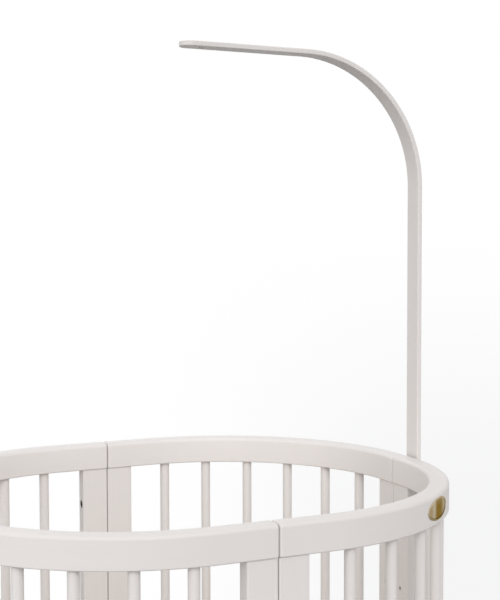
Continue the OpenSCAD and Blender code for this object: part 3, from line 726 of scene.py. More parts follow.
def plate_place(u, v, h):
    """Point on the front right rail's outer face: u metres along the face and v up from the plate's middle,
    and h out from the rail."""
    shape = bpy.context.scene.cradle_shape
    face = shape.corner + RAIL_HALF
    middle = quarter_length(shape.corner) / 2 - PLATE_SHIFT - (HALF_L - shape.corner)
    angle = middle / shape.corner + u / face
    x = HALF_L - shape.corner + (face + h) * np.sin(angle)
    y = -(HALF_W - shape.corner) - (face + h) * np.cos(angle)
    z = np.broadcast_to((RAIL_LOW.z + RAIL_HIGH.z) / 2 + v, x.shape)
    return np.stack([x, y, z], -1)


def oval(half_u, half_v, t):
    """u = half_u cos t, v = half_v sin t."""
    return half_u * np.cos(t), half_v * np.sin(t)


def plate_recess():
    """The oval's space in the rail: an oval prism that follows the rail's curve, a little wider than the plate and
    with a worn mouth."""
    t = np.linspace(0, 2 * np.pi, 96, endpoint=False)
    gap, worn = 0.0001, 0.0004
    rows = []
    for grow, h in ((gap, -PLATE_SINK - gap), (gap, -worn), (gap + worn, 0.0), (gap + worn, 0.004)):
        u, v = oval(PLATE_HALF_U + grow, PLATE_HALF_V + grow, t)
        rows.append(plate_place(u, v, h))
    return Skin().tube(np.array(rows))


class CRADLE_OT_top_rails(bpy.types.Operator):
    """The four top rails, with soft edges at the seams and the oval plate's recess"""

    bl_idname = "cradle.top_rails"
    bl_label = "Top rails"

    def execute(self, context):
        shape = context.scene.cradle_shape
        start, stop = RAIL_LOW.x, quarter_length(shape.corner) - RAIL_LOW.y
        for name, signs in QUADRANTS.items():
            skin = rail_skin(signs, RAIL_LOW.z, RAIL_HIGH.z, shape.top_edge, shape.low_edge, start, stop,
                             shape.seam_edge)
            piece = new_piece("rail_" + name, skin)
            if name == "front_right":
                cut(piece, plate_recess())
            finish_piece(piece, "paint_along", "cradle", "top_rail_" + name)
        return {"FINISHED"}


class CRADLE_OT_low_rails(bpy.types.Operator):
    """The four bottom rails, butted square against the half-posts"""

    bl_idname = "cradle.low_rails"
    bl_label = "Bottom rails"

    def execute(self, context):
        shape = context.scene.cradle_shape
        half = math.acos((POST_SIDE - HALF_W + shape.corner) / shape.corner)
        stop = HALF_L - shape.corner + shape.corner * half
        for name, signs in QUADRANTS.items():
            skin = rail_skin(signs, LOW_RAIL_LOW.z, LOW_RAIL_HIGH.z, shape.low_edge, shape.low_edge, POST_SIDE, stop,
                             SAWN_EDGE, square_at=POST_SIDE)
            finish_piece(new_piece("bottom_rail_" + name, skin), "paint_along", "cradle", "low_rail_" + name)
        return {"FINISHED"}


def blind_hole(radius, depth, chamfer):
    """Cutter for a hole down from z = 0, with a chamfered mouth that it leaves by 2 mm."""
    wide, above = radius + chamfer, 0.002
    return Skin().lathe([(0, -depth), (radius, -depth), (radius, -chamfer), (wide, 0), (wide, above), (0, above)], 36)


class CRADLE_OT_half_posts(bpy.types.Operator):
    """The eight half-posts: upright soft boxes with the joint bolts' counterbores and the base's screw holes"""

    bl_idname = "cradle.half_posts"
    bl_label = "Half-posts"

    def execute(self, context):
        edge = context.scene.cradle_shape.post_edge
        middle = (POST_HIGH.x + POST_LOW.x) / 2
        z, drawn = soft_ends(POST_LOW.z, POST_HIGH.z, SAWN_EDGE, pitch=0.05)
        across, up = soft_section(POST_HIGH.x - POST_LOW.x, POST_THICK, edge, edge, drawn, 7)
        rows = np.stack([middle + across, up - POST_THICK / 2, np.broadcast_to(z[:, None], across.shape)], -1)
        counterbore = blind_hole(0.007, 0.005, 0.0004)
        insert_hole = blind_hole(INSERT_RADIUS + 0.0001, 0.015, 0.0003)
        r, deep, below = 0.009, 0.008, 0.002
        rivet_pocket = Skin().lathe([(0, -below), (r, -below), (r, deep), (0, deep)], 36)
        tools = [counterbore.copies([Matrix.Translation((POST_SIDE, 0, z)) @ OUTWARD for z in BOLT_Z]),
                 insert_hole.copies([Matrix.Translation((middle, -POST_THICK / 2, z)) @ LYING for z in INSERT_Z]),
                 rivet_pocket.copies([Matrix.Translation((0, 0, POST_LOW.z))])]
        away = {post: np.sign(np.round(place, 6)) for post, place in POST_MIDDLE.items()}
        for half in HALVES:
            post, side = half.split("_")
            (ax, ay), (ox, oy) = away[side], away[post]
            x, y = POST_MIDDLE[post]
            place = Matrix(((ax, ox, 0, x), (ay, oy, 0, y), (0, 0, 1, 0), (0, 0, 0, 1)))
            piece = new_piece("half_post_" + half, Skin().tube(rows).copies([place]))
            for tool in tools:
                cut(piece, tool.copies([place]))
            finish_piece(piece, "paint_upright", "cradle", "post_" + half)
        return {"FINISHED"}


class CRADLE_OT_bars(bpy.types.Operator):
    """Six round bars in each quarter, evenly spaced along the ring"""

    bl_idname = "cradle.bars"
    bl_label = "Bars"

    def execute(self, context):
        shape = context.scene.cradle_shape
        s = quarter_length(shape.corner) / 2 + (np.arange(6) - 2.5) * shape.bar_pitch
        spots, _ = ring_path(s, shape.corner)
        radius = BARS_HIGH.y - spots[0][1]
        one = Skin().lathe([(0, BARS_LOW.z), (radius, BARS_LOW.z), (radius, BARS_HIGH.z), (0, BARS_HIGH.z)], 48)
        for name, signs in QUADRANTS.items():
            skin = one.copies([Matrix.Translation((x * signs[0], y * signs[1], 0)) for x, y in spots])
            finish_piece(new_piece("round_bars_" + name, skin), "paint_upright", "cradle", "bars_" + name)
        return {"FINISHED"}


class CRADLE_OT_oval_plate(bpy.types.Operator):
    """The brass oval: a rim raised on a half circle round a bare field that rises by dome * (1 - share^2)"""

    bl_idname = "cradle.oval_plate"
    bl_label = "Oval plate"

    def execute(self, context):
        rim = context.scene.cradle_shape.plate_rim
        t = np.linspace(0, 2 * np.pi, 96, endpoint=False)
        edge_u, edge_v = oval(PLATE_HALF_U, PLATE_HALF_V, t)
        slope = np.stack([np.cos(t) / PLATE_HALF_U, np.sin(t) / PLATE_HALF_V], -1)
        slope /= np.linalg.norm(slope, axis=1)[:, None]
        top, low, rise, dome = PLATE_PROUD + 0.0003, -0.0002, 0.0004, 0.0005
        bead = [(rim * (1 - math.cos(a)) / 2, top - rise + rise * math.sin(a)) for a in arc(0, 180, 8)]
        rows = [(0.0, -PLATE_SINK)] + bead + [(rim + 0.0002, low), (rim + 0.0006, low)]
        skin_rows, flow = [], []
        for inset, h in rows:
            u, v = edge_u - inset * slope[:, 0], edge_v - inset * slope[:, 1]
            skin_rows.append(plate_place(u, v, h))
            flow.append(np.stack([u, v], -1))
        inner_u, inner_v = u, v
        for share in np.linspace(1, 0, 14)[1:-1]:
            u, v = inner_u * share, inner_v * share
            skin_rows.append(plate_place(u, v, low + dome * (1 - share ** 2)))
            flow.append(np.stack([u, v], -1))
        skin = Skin().tube(np.array(skin_rows), closed(np.array(flow)))
        finish_piece(new_piece("brass_oval", skin), "brushed_brass", "cradle", "oval_plate", sharp=50.0)
        return {"FINISHED"}


# ---------------------------------------------------------------- canopy rod and its holder

# The rod's section and how far it bends; its hole's diameter, and how far that lies from the free end
ROD_WIDTH, ROD_THICK = ROD_HIGH.y - ROD_LOW.y, 0.008
ROD_TURN = math.radians(89.5)
ROD_HOLE, ROD_HOLE_IN = 0.008, 0.035


def rod_lengths(bend_r):
    """Lengths of the leg and of the arm: the bend starts where the arm's end reaches the frame's highest point."""
    middle = ROD_HIGH.x - ROD_THICK / 2 - bend_r
    arm = (middle + bend_r * math.cos(ROD_TURN) - ROD_LOW.x) / math.sin(ROD_TURN)
    rise = (bend_r + ROD_THICK / 2) * math.sin(ROD_TURN) + arm * math.cos(ROD_TURN)
    return ROD_HIGH.z - rise - ROD_LOW.z, arm


def rod_path(s, bend_r):
    """Point (x, z) and outward normal on the rod's middle line, s metres from its foot: a straight leg, an arc
    about a centre on the inside, and a straight arm."""
    leg, arm = rod_lengths(bend_r)
    angle = np.clip((s - leg) / bend_r, 0, ROD_TURN)
    normal = np.stack([np.cos(angle), np.sin(angle)], -1)
    centre = np.array([ROD_HIGH.x - ROD_THICK / 2 - bend_r, ROD_LOW.z + leg])
    point = centre + bend_r * normal
    before, after = np.minimum(s - leg, 0), np.maximum(s - leg - bend_r * ROD_TURN, 0)
    ahead = np.stack([-np.sin(angle), np.cos(angle)], -1)
    return point + (before + after)[..., None] * ahead, normal


class CRADLE_OT_canopy_rod(bpy.types.Operator):
    """The bent flat rod, with soft edges, a countersunk hole and a free end whose section narrows on a half circle"""

    bl_idname = "cradle.canopy_rod"
    bl_label = "Canopy rod"

    def execute(self, context):
        shape = context.scene.cradle_shape
        edge, half = shape.rod_edge, ROD_WIDTH / 2
        leg, arm = rod_lengths(shape.rod_bend)
        bend_end = leg + shape.rod_bend * ROD_TURN
        total = bend_end + arm
        turn = arc(0, 90, 5)
        body = np.concatenate([
            edge * (1 - np.cos(turn)), np.linspace(0.008, leg, 40)[:-1], np.linspace(leg, bend_end, 73)[:-1],
            np.linspace(bend_end, total - half, 16)[:-1]])
        drawn = np.concatenate([edge * (1 - np.sin(turn)), np.zeros(len(body) - len(turn))])
        across, up = soft_section(ROD_WIDTH, ROD_THICK, edge, edge, drawn)
        swing = arc(0, 90, 14)[:, None]
        s = np.concatenate([np.repeat(body[:, None], across.shape[1], 1),
                            total - half + np.abs(across[-1:]) * np.sin(swing)])
        up = np.concatenate([up, np.repeat(up[-1:], len(swing), 0)]) - ROD_THICK / 2
        across = np.concatenate([across, across[-1:] * np.cos(swing)])
        point, normal = rod_path(s, shape.rod_bend)
        xz = point + up[..., None] * normal
        grid = np.stack([xz[..., 0], across, xz[..., 1]], -1)
        rod = new_piece("rod", Skin().tube(grid, closed(np.stack([s, across + up * 2], -1)), folded=True))
        spot, normal = rod_path(np.array(total - ROD_HOLE_IN), shape.rod_bend)
        axis = Vector((normal[0], 0.0, normal[1]))
        r, depth, flare, beyond = ROD_HOLE / 2, ROD_THICK / 2, 0.0006, 0.002
        upper = [(r, depth - flare), (r + flare, depth), (r + flare + beyond, depth + beyond), (0, depth + beyond)]
        place = Matrix.Translation((spot[0], 0.0, spot[1])) @ axis.to_track_quat("Z", "Y").to_matrix().to_4x4()
        cut(rod, Skin().lathe([(wide, -high) for wide, high in upper[::-1]] + upper, 40, place))
        finish_piece(rod, "paint_along", "rod", "canopy_rod", sharp=45.0)
        return {"FINISHED"}


class CRADLE_OT_rod_holder(bpy.types.Operator):
    """The moulded holder on the right-hand half-posts: a socket between two screwed ears"""

    bl_idname = "cradle.rod_holder"
    bl_label = "Rod holder"

    def execute(self, context):
        edge = context.scene.cradle_shape.moulded_edge
        back, front = HOLDER_LOW.x, HOLDER_HIGH.x
        ear, half, wall, gap = 0.004, HOLDER_HIGH.y, 0.003, 0.0003
        box = ROD_WIDTH / 2 + gap + wall
        corners = [(back, -half, 0.0006), (back + ear, -half, 0.0022), (back + ear, -box, 0.004), (front, -box, 0.0045),
                   (front, box, 0.0045), (back + ear, box, 0.004), (back + ear, half, 0.0022), (back, half, 0.0006)]
        holder = new_piece("holder", Skin().slab(rounded(corners), HOLDER_LOW.z, HOLDER_HIGH.z, edge))
        slot = rounded(box_corners(ROD_HIGH.x - ROD_THICK - gap, -ROD_WIDTH / 2 - gap, ROD_HIGH.x + gap,
                                   ROD_WIDTH / 2 + gap, 0.0008))
        outward = np.sign(slot - slot.mean(0))
        top = HOLDER_HIGH.z
        rows = [np.concatenate([slot + outward * flare, np.full((len(slot), 1), z)], 1) for z, flare in (
            (ROD_LOW.z, 0.0), (top - 0.0016, 0.0), (top - 0.0006, 0.0004), (top, 0.0013), (top + 0.003, 0.0013))]
        tools = Skin().tube(np.array(rows))
        border, half_panel, sunk = 0.014, 0.0125, 0.0007
        panel = rounded(box_corners(-half_panel, HOLDER_LOW.z + border, half_panel, top - border, 0.0045), 6)
        tools.slab(panel, 0.0, 0.004, 0.0004, Matrix.Translation((front - sunk, 0, 0))
                   @ Matrix(((0, 0, 1, 0), (1, 0, 0, 0), (0, 1, 0, 0), (0, 0, 0, 1))))
        cut(holder, tools)
        finish_piece(holder, "moulded", "cradle", "rod_holder", sharp=32.0)
        return {"FINISHED"}


def box_corners(left, low, right, high, radius):
    """A rectangle's corners (x, y, radius), for rounded."""
    return [(left, low, radius), (right, low, radius), (right, high, radius), (left, high, radius)]


def rounded(corners, steps=5):
    """Outline of straight sides whose corners (x, y, radius) are arcs that touch both sides."""
    points = []
    for k, (x, y, r) in enumerate(corners):
        here = np.array([x, y])
        before, after = np.array(corners[k - 1][:2]), np.array(corners[(k + 1) % len(corners)][:2])
        a, b = (before - here) / np.linalg.norm(before - here), (after - here) / np.linalg.norm(after - here)
        half = math.acos(float(np.clip(a @ b, -1, 1))) / 2
        centre = here + (a + b) / np.linalg.norm(a + b) * r / math.sin(half)
        first, last = here + a * r / math.tan(half), here + b * r / math.tan(half)
        start = math.atan2(*(first - centre)[::-1])
        swing = (math.atan2(*(last - centre)[::-1]) - start + math.pi) % (2 * math.pi) - math.pi
        angle = start + swing * np.linspace(0, 1, steps + 1)
        points.append(centre + r * np.stack([np.cos(angle), np.sin(angle)], -1))
    return np.concatenate(points)


# ---------------------------------------------------------------- mattress base


class CRADLE_OT_base(bpy.types.Operator):
    """The mattress base: a plywood ring with soft edges, birch slats and folded steel brackets"""

    bl_idname = "cradle.base"
    bl_label = "Mattress base"

    def execute(self, context):
        shape = context.scene.cradle_shape
        self.ring(shape)
        self.slats(shape)
        self.brackets()
        dress("base_inserts", "moulded")
        return {"FINISHED"}

    def ring(self, shape):
        """A soft rectangle carried round the whole oval, parallel to the rails."""
        board = 0.050
        inset = HALF_W - BASE_HIGH.y + board / 2
        corner, half_l, half_w = shape.corner - inset, HALF_L - inset, HALF_W - inset
        quarter = quarter_length(corner, half_l, half_w)
        s = np.linspace(0, quarter, 81)[:-1]
        middle, out = ring_path(s, corner, half_l, half_w)
        points, ways = [], []
        for signs, back in (((1, 1), False), ((1, -1), True), ((-1, -1), False), ((-1, 1), True)):
            m, o = middle * signs, out * signs
            if back:
                end, way = ring_path(np.array([quarter]), corner, half_l, half_w)
                m = np.concatenate([m[1:], end * signs])[::-1]
                o = np.concatenate([o[1:], way * signs])[::-1]
            points.append(m)
            ways.append(o)
        middle, out = np.concatenate(points), np.concatenate(ways)
        across, up = soft_section(board, BASE_HIGH.z - BASE_LOW.z, shape.board_edge, shape.board_edge)
        height = np.broadcast_to((BASE_LOW.z + up[0])[None, :, None], (len(middle), across.shape[1], 1))
        board_xy = middle[:, None] + across[0][None, :, None] * out[:, None]
        skin = Skin().tube(np.concatenate([board_xy, height], -1), loop=True)
        finish_piece(new_piece("base_board", skin), "birch_ring", "cradle", "base_ring")

    def slats(self, shape):
        """Seven boards across the ring. Their ends follow the oval: y = t * edge(x), with t from -1 to 1, where
        edge(x) is the oval's half width."""
        corner = shape.corner - (HALF_W - SLATS_HIGH.y)
        turn = 0.012
        t, drawn = soft_ends(-1.0, 1.0, turn, 4, 0.125)
        across, up = soft_section(SLAT_WIDTH, SLATS_HIGH.z - SLATS_LOW.z, shape.board_edge, shape.board_edge,
                                  drawn / turn * shape.board_edge)
        skin = Skin()
        for x in SLAT_PLACES:
            inner = np.clip(np.abs(x + across) - (HALF_L - shape.corner), 0, corner * 0.99999)
            edge = HALF_W - shape.corner + np.sqrt(corner ** 2 - inner ** 2)
            skin.tube(np.stack([x + across, t[:, None] * edge, SLATS_LOW.z + up], -1))
        slats = new_piece("slats", skin)
        shank, sink = 0.0021, 0.0043
        hole = Skin().lathe([(0, -0.004), (shank, -0.004), (shank, -0.0025), (sink, 0.0), (sink + 0.0005, 0.0005),
                             (sink + 0.0005, 0.002), (0, 0.002)], 28)
        cut(slats, hole.copies([turned(x, y, SLATS_HIGH.z) for x, y in slat_screw_places()]))
        finish_piece(slats, "birch_slats", "cradle", "base_slats", sharp=32.0)

    def brackets(self):
        """Angle brackets folded from strip: a thin soft rectangle carried up one flange and along the other,
        round a bend, its free corners cut to a radius."""
        width, thick, bend, corner_r = 0.076, 0.003, 0.0035, 0.008
        tall, reach = BRACKETS_HIGH.z - BRACKETS_LOW.z, 0.042
        up_run, along_run = tall - thick / 2 - bend, reach - thick / 2 - bend
        total = up_run + bend * math.pi / 2 + along_run
        s = np.concatenate([corner_r * (1 - np.cos(arc(0, 90, 8))), [up_run], up_run + bend * arc(0, 90, 8),
                            total - corner_r * (1 - np.cos(arc(90, 0, 8)))])
        from_end = np.minimum(np.minimum(s, total - s), corner_r)
        half = width / 2 - corner_r + np.sqrt(corner_r ** 2 - (corner_r - from_end) ** 2)
        angle = np.clip((s - up_run) / bend, 0, np.pi / 2)
        centre = np.array([-thick / 2 - bend, thick / 2 + bend])
        point = centre + bend * np.stack([np.cos(angle), -np.sin(angle)], -1)
        point[:, 1] += np.maximum(up_run - s, 0)
        point[:, 0] -= np.maximum(s - up_run - bend * np.pi / 2, 0)
        normal = np.stack([np.cos(angle), -np.sin(angle)], -1)
        across, up = soft_section(1.0, thick, 0.0006, 0.0006, steps=3)
        grid_across = np.sign(across) * (half[:, None] - (0.5 - np.abs(across)))
        level = up - thick / 2
        out = point[:, None, 0] + level * normal[:, None, 0]
        high = point[:, None, 1] + level * normal[:, None, 1]
        one = Skin().tube(np.stack([out, grid_across, high], -1))
        foot = Matrix.Translation((-POST_THICK / 2, 0, 0))
        places = [turned(*POST_MIDDLE[post], BRACKETS_LOW.z, FACING[post], foot) for post in POSTS]
        finish_piece(new_piece("angle_brackets", one.copies(places)), "zinc", "cradle", "base_brackets", sharp=60.0)


def slat_screw_places():
    """Two screws in each slat, as far in from the base ring's outline y = edge(x) as the outermost ones are."""
    shape = bpy.context.scene.cradle_shape
    corner = shape.corner - (HALF_W - BASE_HIGH.y)
    back = BASE_HIGH.y - (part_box("slat_screws")[1].y - SCREW_RADIUS)
    for x in SLAT_PLACES:
        inner = max(abs(x) - (HALF_L - shape.corner), 0)
        edge = HALF_W - shape.corner + math.sqrt(corner ** 2 - inner ** 2) - back
        yield x, edge
        yield x, -edge


# ---------------------------------------------------------------- screws


def cross_head(radius, height, countersunk):
    """A wood screw's head less two crossed tapering blades. The head is a dome, r = R cos(a)^0.8 and
    h = height * (0.35 + 0.65 sin a), or a flat cone over its shank."""
    if countersunk:
        profile = [(0, -height - 0.006), (radius * 0.5, -height - 0.006), (radius * 0.5, -height), (radius, -0.0002),
                   (radius, 0.0), (radius * 0.6, 0.0), (0, 0.0)]
    else:
        a = arc(0, 90, 7)
        dome = np.stack([radius * np.cos(a) ** 0.8, height * (0.35 + 0.65 * np.sin(a))], -1)
        profile = np.concatenate([[(0, -0.0005), (radius, -0.0005)], dome])
    head = new_piece("head", Skin().lathe(profile, 32))
    top = 0.0 if countersunk else height
    for turn in (0.0, math.pi / 2):
        rows = [[(-long, -wide, z), (long, -wide, z), (long, wide, z), (-long, wide, z)] for z, long, wide in (
            (top - 0.0015, radius * 0.18, 0.0004), (top + 0.001, radius * 0.68, 0.0007))]
        cut(head, Skin().tube(moved(np.array(rows), Matrix.Rotation(turn, 4, "Z"))))
    points = np.empty(len(head.data.vertices) * 3)
    head.data.vertices.foreach_get("co", points)
    made = Skin().add(points.reshape(-1, 3), [list(face.vertices) for face in head.data.polygons])
    bpy.data.objects.remove(head)
    return made


class CRADLE_OT_fasteners(bpy.types.Operator):
    """Screws with cross recesses, and the bolts and dowels of the frame"""

    bl_idname = "cradle.fasteners"
    bl_label = "Fasteners"

    def execute(self, context):
        for node in ("bracket_screws", "castor_plates"):
            dress(node, "zinc")
        # The joint bolts and nuts are blackened steel, near black so that they also paint the shade inside the
        # half-posts' counterbores.
        for node in ("joint_bolts", "joint_nuts"):
            dress(node, "black_oxide")
        dress("rail_dowels", "birch_dowels")
        pan = cross_head(SCREW_RADIUS, 0.0024, False)
        flat = cross_head(SCREW_RADIUS, 0.0024, True)
        low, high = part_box("holder_screws")
        ear, r = 0.004, SCREW_RADIUS
        spots = [Matrix.Translation((HOLDER_LOW.x + ear, y, z)) @ OUTWARD
                 for y in (low.y + r, high.y - r) for z in (low.z + r, high.z - r)]
        self.add("holder_screw_heads", pan, spots, "holder_screws")
        self.add("slat_screw_heads", flat, [turned(x, y, SLATS_HIGH.z - 0.0001) for x, y in slat_screw_places()],
                 "slat_screws")
        self.add("base_screw_heads", pan, self.under(BRACKETS_LOW.z, 0.040, (-0.024, 0.024)), "base_screws")
        plate = 0.003
        spots = self.under(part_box("castor_plates")[1].z - plate, 0.0, (-0.034, -0.015, 0.015, 0.034))
        self.add("plate_screw_heads", pan, spots, "plate_screws")
        return {"FINISHED"}

    def under(self, z, inward, sides):
        """Places under each pair of half-posts, at a height, in from their middle and to its sides."""
        upside_down = Matrix.Rotation(math.pi, 4, "X")
        return [turned(*POST_MIDDLE[post], z, FACING[post], Matrix.Translation((-inward, side, 0)) @ upside_down)
                for post in POSTS for side in sides]

    def add(self, name, head, spots, node):
        finish_piece(new_piece(name, head.copies(spots)), "zinc", "cradle", node, sharp=30.0)


# ---------------------------------------------------------------- castors


class CRADLE_OT_castors(bpy.types.Operator):
    """Four castors: pressed fork, spoked hub, tyre with a parting line, and brake levers on two of them"""

    bl_idname = "cradle.castors"
    bl_label = "Castors"

    def execute(self, context):
        hub, tyre, lever = self.hub(), self.tyre(), self.lever()
        for post in POSTS:
            wheel = Matrix.Translation(WHEEL[post]) @ LYING
            swivel = Matrix.Translation((*POST_MIDDLE[post], 0))
            finish_piece(new_piece("hub_" + post, hub.copies([wheel])), "moulded", "wheel_" + post,
                         "castor_hub_" + post)
            finish_piece(new_piece("tyre_" + post, tyre.copies([wheel])), "rubber", "wheel_" + post,
                         "castor_tyre_" + post)
            fork = new_piece("fork_" + post, self.fork(post).copies([swivel]))
            if post in BRAKED:
                cut(fork, self.pin_hole(post))
            finish_piece(fork, "zinc", "castor_" + post, "castor_fork_" + post, sharp=40.0)
            dress("castor_axle_" + post, "zinc")
            if post in BRAKED:
                finish_piece(new_piece("lever_" + post, lever.copies([swivel])), "moulded",
                             "brake_" + post, "brake_lever_" + post)
                dress("brake_pin_" + post, "zinc")
        return {"FINISHED"}

    def tyre(self):
        """Tread and walls turned about the axle, with a fine parting ridge round the middle."""
        inner, outer, half = 0.016, AXLE_Z, 0.009
        side = [(inner, -half + 0.0006), (inner + 0.0006, -half), (outer - 0.0032, -half)]
        shoulder = arc_points(outer - 0.0030, -half + 0.0028, 0.0028, -90, 0, 6)
        half_line = np.concatenate([side, shoulder, [(outer - 0.0001, -0.0024), (outer - 0.0001, -0.0004),
                                                     (outer, -0.0002)]])
        return Skin().lathe(np.concatenate([half_line, (half_line * (1, -1))[::-1], [half_line[0]]]), 96)

    def hub(self):
        """Rim, web and boss turned about the axle, and six ribs that join them on either side."""
        rim, boss, bore = 0.0159, 0.006, 0.00306
        half, boss_half = 0.008, 0.0097
        side = [(bore, 0), (bore, -boss_half + 0.0004), (bore + 0.0004, -boss_half), (boss - 0.0005, -boss_half),
                (boss, -boss_half + 0.0005), (boss + 0.0003, -0.0028), (boss + 0.0012, -0.002), (rim - 0.0034, -0.002),
                (rim - 0.0026, -0.0028), (rim - 0.0023, -half + 0.0004), (rim - 0.0019, -half), (rim - 0.0004, -half),
                (rim, -half + 0.0004)]
        skin = Skin().lathe(side + [(r, -h) for r, h in side[::-1]], 72)
        near, far, rib_half = boss - 0.001, rim - 0.0022, 0.0068
        outline = rounded([(near, -0.0009, 0.0004), (far, -0.0007, 0.0003), (far, 0.0007, 0.0003),
                           (near, 0.0009, 0.0004)], 2)
        for k in range(6):
            skin.slab(outline, -rib_half, rib_half, 0.0004, Matrix.Rotation(k * math.pi / 3, 4, "Z"), 2)
        return skin

    def fork(self, post):
        """Stem, rivet head and crown turned about the swivel axis, and two pressed cheeks that taper to the axle."""
        low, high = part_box("castor_fork_" + post)
        crown_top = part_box("castor_plates")[0].z - 0.0003
        crown, r = crown_top - 0.005, (high.y - low.y) / 2
        stem, rivet = 0.005, 0.007
        a = arc(-90, 90, 6)
        rim = np.stack([r - 0.0012 + 0.0012 * np.cos(a), crown + 0.0025 + 0.0025 * np.sin(a)], -1)
        head = np.stack([(rivet - 0.001) + 0.001 * np.cos(a), high.z - 0.0015 + 0.0015 * np.sin(a)], -1)
        skin = Skin().lathe(np.concatenate([[(0, crown)], rim, [(stem + 0.003, crown_top), (stem, crown_top),
                                            (stem, high.z - 0.003)], head, [(0, high.z)]]), 64)
        end, cheek_y, cheek = 0.009, 0.010, 0.003
        bottom = arc_points(-TRAIL, AXLE_Z, end, 180, 345, 14)
        outline = np.concatenate([bottom, [(0.0078, 0.0494), (0.0109, crown + 0.002), (-0.0112, crown + 0.002),
                                           (-0.0150, 0.0500), (-0.0190, 0.0385)]])
        for side in (-1, 1):
            place = Matrix(((1, 0, 0, 0), (0, 0, side, side * cheek_y), (0, 1, 0, 0), (0, 0, 0, 1)))
            skin.slab(outline, 0.0, cheek, 0.0009, place, 3)
        return skin

    def pin_hole(self, post):
        """The bore of a brake lever's pin, whose ends lie flush with the cheeks."""
        low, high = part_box("brake_pin_" + post)
        r, reach = (high.x - low.x) / 2 + 0.0001, high.y - low.y
        return Skin().lathe([(0, -reach), (r, -reach), (r, reach), (0, reach)], 32,
                            Matrix.Translation((low + high) / 2) @ LYING)

    def lever(self):
        """Side view of the pedal: hub, sole with five grip ribs, and the brake shoe below, as one soft slab."""
        half, sole = 0.0097, 0.004
        hub = arc_points(0, 0, sole, -95, 88, 12)
        rib = ((0.0011, sole), (0.0006, sole + 0.0007), (-0.0006, sole + 0.0007), (-0.0011, sole))
        ribs = [(middle + out, up) for middle in -0.0245 - 0.0035 * np.arange(5) for out, up in rib]
        tip = arc_points(-0.040, sole / 2, sole / 2, 90, 270, 8)
        outline = np.concatenate([hub, [(-0.006, sole)], ribs, tip,
                                  [(-0.0182, 0.0), (-0.0178, -0.0026), (-0.0172, -0.003), (-0.0088, -0.003),
                                   (-0.0082, -0.0026), (-0.0078, -0.0012), (-0.0042, -0.0014)]])
        place = Matrix(((1, 0, 0, PIN_X), (0, 0, 1, 0), (0, 1, 0, PIN_Z), (0, 0, 0, 1)))
        return Skin().slab(outline, -half, half, 0.0006, place, 3)


# ---------------------------------------------------------------- camera, light and the image points

WIDTH, HEIGHT = 500, 600
LONGEST = max(WIDTH, HEIGHT)

# Places in the photograph's frame, in pixels from its top left corner
IMAGE_POINTS = {
    "object_right": (449.2, 497.0),
    "object_top": (186.0, 39.7),
    "rod_tip_left": (178.9, 43.5),
    "rod_hole": (203.9, 47.2),
    "rod_leg_right": (422.4, 200.0),
    "front_seam_top": (280.4, 525.5),
    "front_seam_bottom": (280.3, 557.7),
    "back_seam_top": (106.9, 443.0),
    "right_seam_bottom": (391.6, 482.3),
    "back_rail_top": (226.0, 435.8),
    "front_rail_bottom": (100.0, 571.0),
    "oval_plate": (437.2, 508.3),
    "bolt_hole": (81.0, 504.0),
    "base_hole_left": (384.6, 581.5),
    "base_hole_right": (399.1, 588.6),
    "back_bar": (246.7, 500.0),
    "front_post_right": (310.7, 590.0),
}


def camera_axes(studio):
    """Right, up and back of the camera: turned to the right of +Y, dipped, then rolled."""
    ahead = Vector((math.sin(studio.turn) * math.cos(studio.dip), math.cos(studio.turn) * math.cos(studio.dip),
                    -math.sin(studio.dip)))
    level = Vector((math.cos(studio.turn), -math.sin(studio.turn), 0.0))
    upright = level.cross(ahead)
    right = level * math.cos(studio.roll) + upright * math.sin(studio.roll)
    up = upright * math.cos(studio.roll) - level * math.sin(studio.roll)
    return right, up, -ahead


def camera_ray(point):
    """Direction from the camera through a point of the image."""
    camera = bpy.context.scene.camera
    data = camera.data
    ray = Vector((point[0] - WIDTH / 2 + data.shift_x * LONGEST, HEIGHT / 2 - point[1] + data.shift_y * LONGEST,
                  -LONGEST * data.lens / data.sensor_width))
    return (camera.matrix_world.to_3x3() @ ray).normalized()


def in_image(points):
    """Image places of points in the frame: the reverse of camera_ray."""
    camera = bpy.context.scene.camera
    data = camera.data
    local = (np.asarray(points) - np.array(camera.location)) @ np.array(camera.matrix_world.to_3x3())
    scale = LONGEST * data.lens / data.sensor_width / -local[:, 2]
    return np.stack([WIDTH / 2 - data.shift_x * LONGEST + local[:, 0] * scale,
                     HEIGHT / 2 + data.shift_y * LONGEST - local[:, 1] * scale], -1)


def finished(names):
    """World points and triangles of finished pieces."""
    graph = bpy.context.evaluated_depsgraph_get()
    points, faces, count = [], [], 0
    for name in names:
        made = bpy.data.objects[name].evaluated_get(graph)
        mesh = made.to_mesh()
        mesh.calc_loop_triangles()
        here = np.empty(len(mesh.vertices) * 3)
        mesh.vertices.foreach_get("co", here)
        corners = np.empty(len(mesh.loop_triangles) * 3, np.int32)
        mesh.loop_triangles.foreach_get("vertices", corners)
        points.append(moved(here.reshape(-1, 3), made.matrix_world))
        faces.append(corners.reshape(-1, 3) + count)
        count += len(points[-1])
        made.to_mesh_clear()
    return np.concatenate(points), np.concatenate(faces)


def place_on(point, tree):
    """Where the ray through an image point meets the surface, or the nearest place to that ray."""
    eye, way = bpy.context.scene.camera.location, camera_ray(point)
    spot = tree.ray_cast(eye, way)[0]
    if spot is None:
        near = [tree.find_nearest(eye + way * d) for d in np.linspace(1.0, 4.0, 61)]
        spot = min(near, key=lambda found: found[3])[0]
    return spot


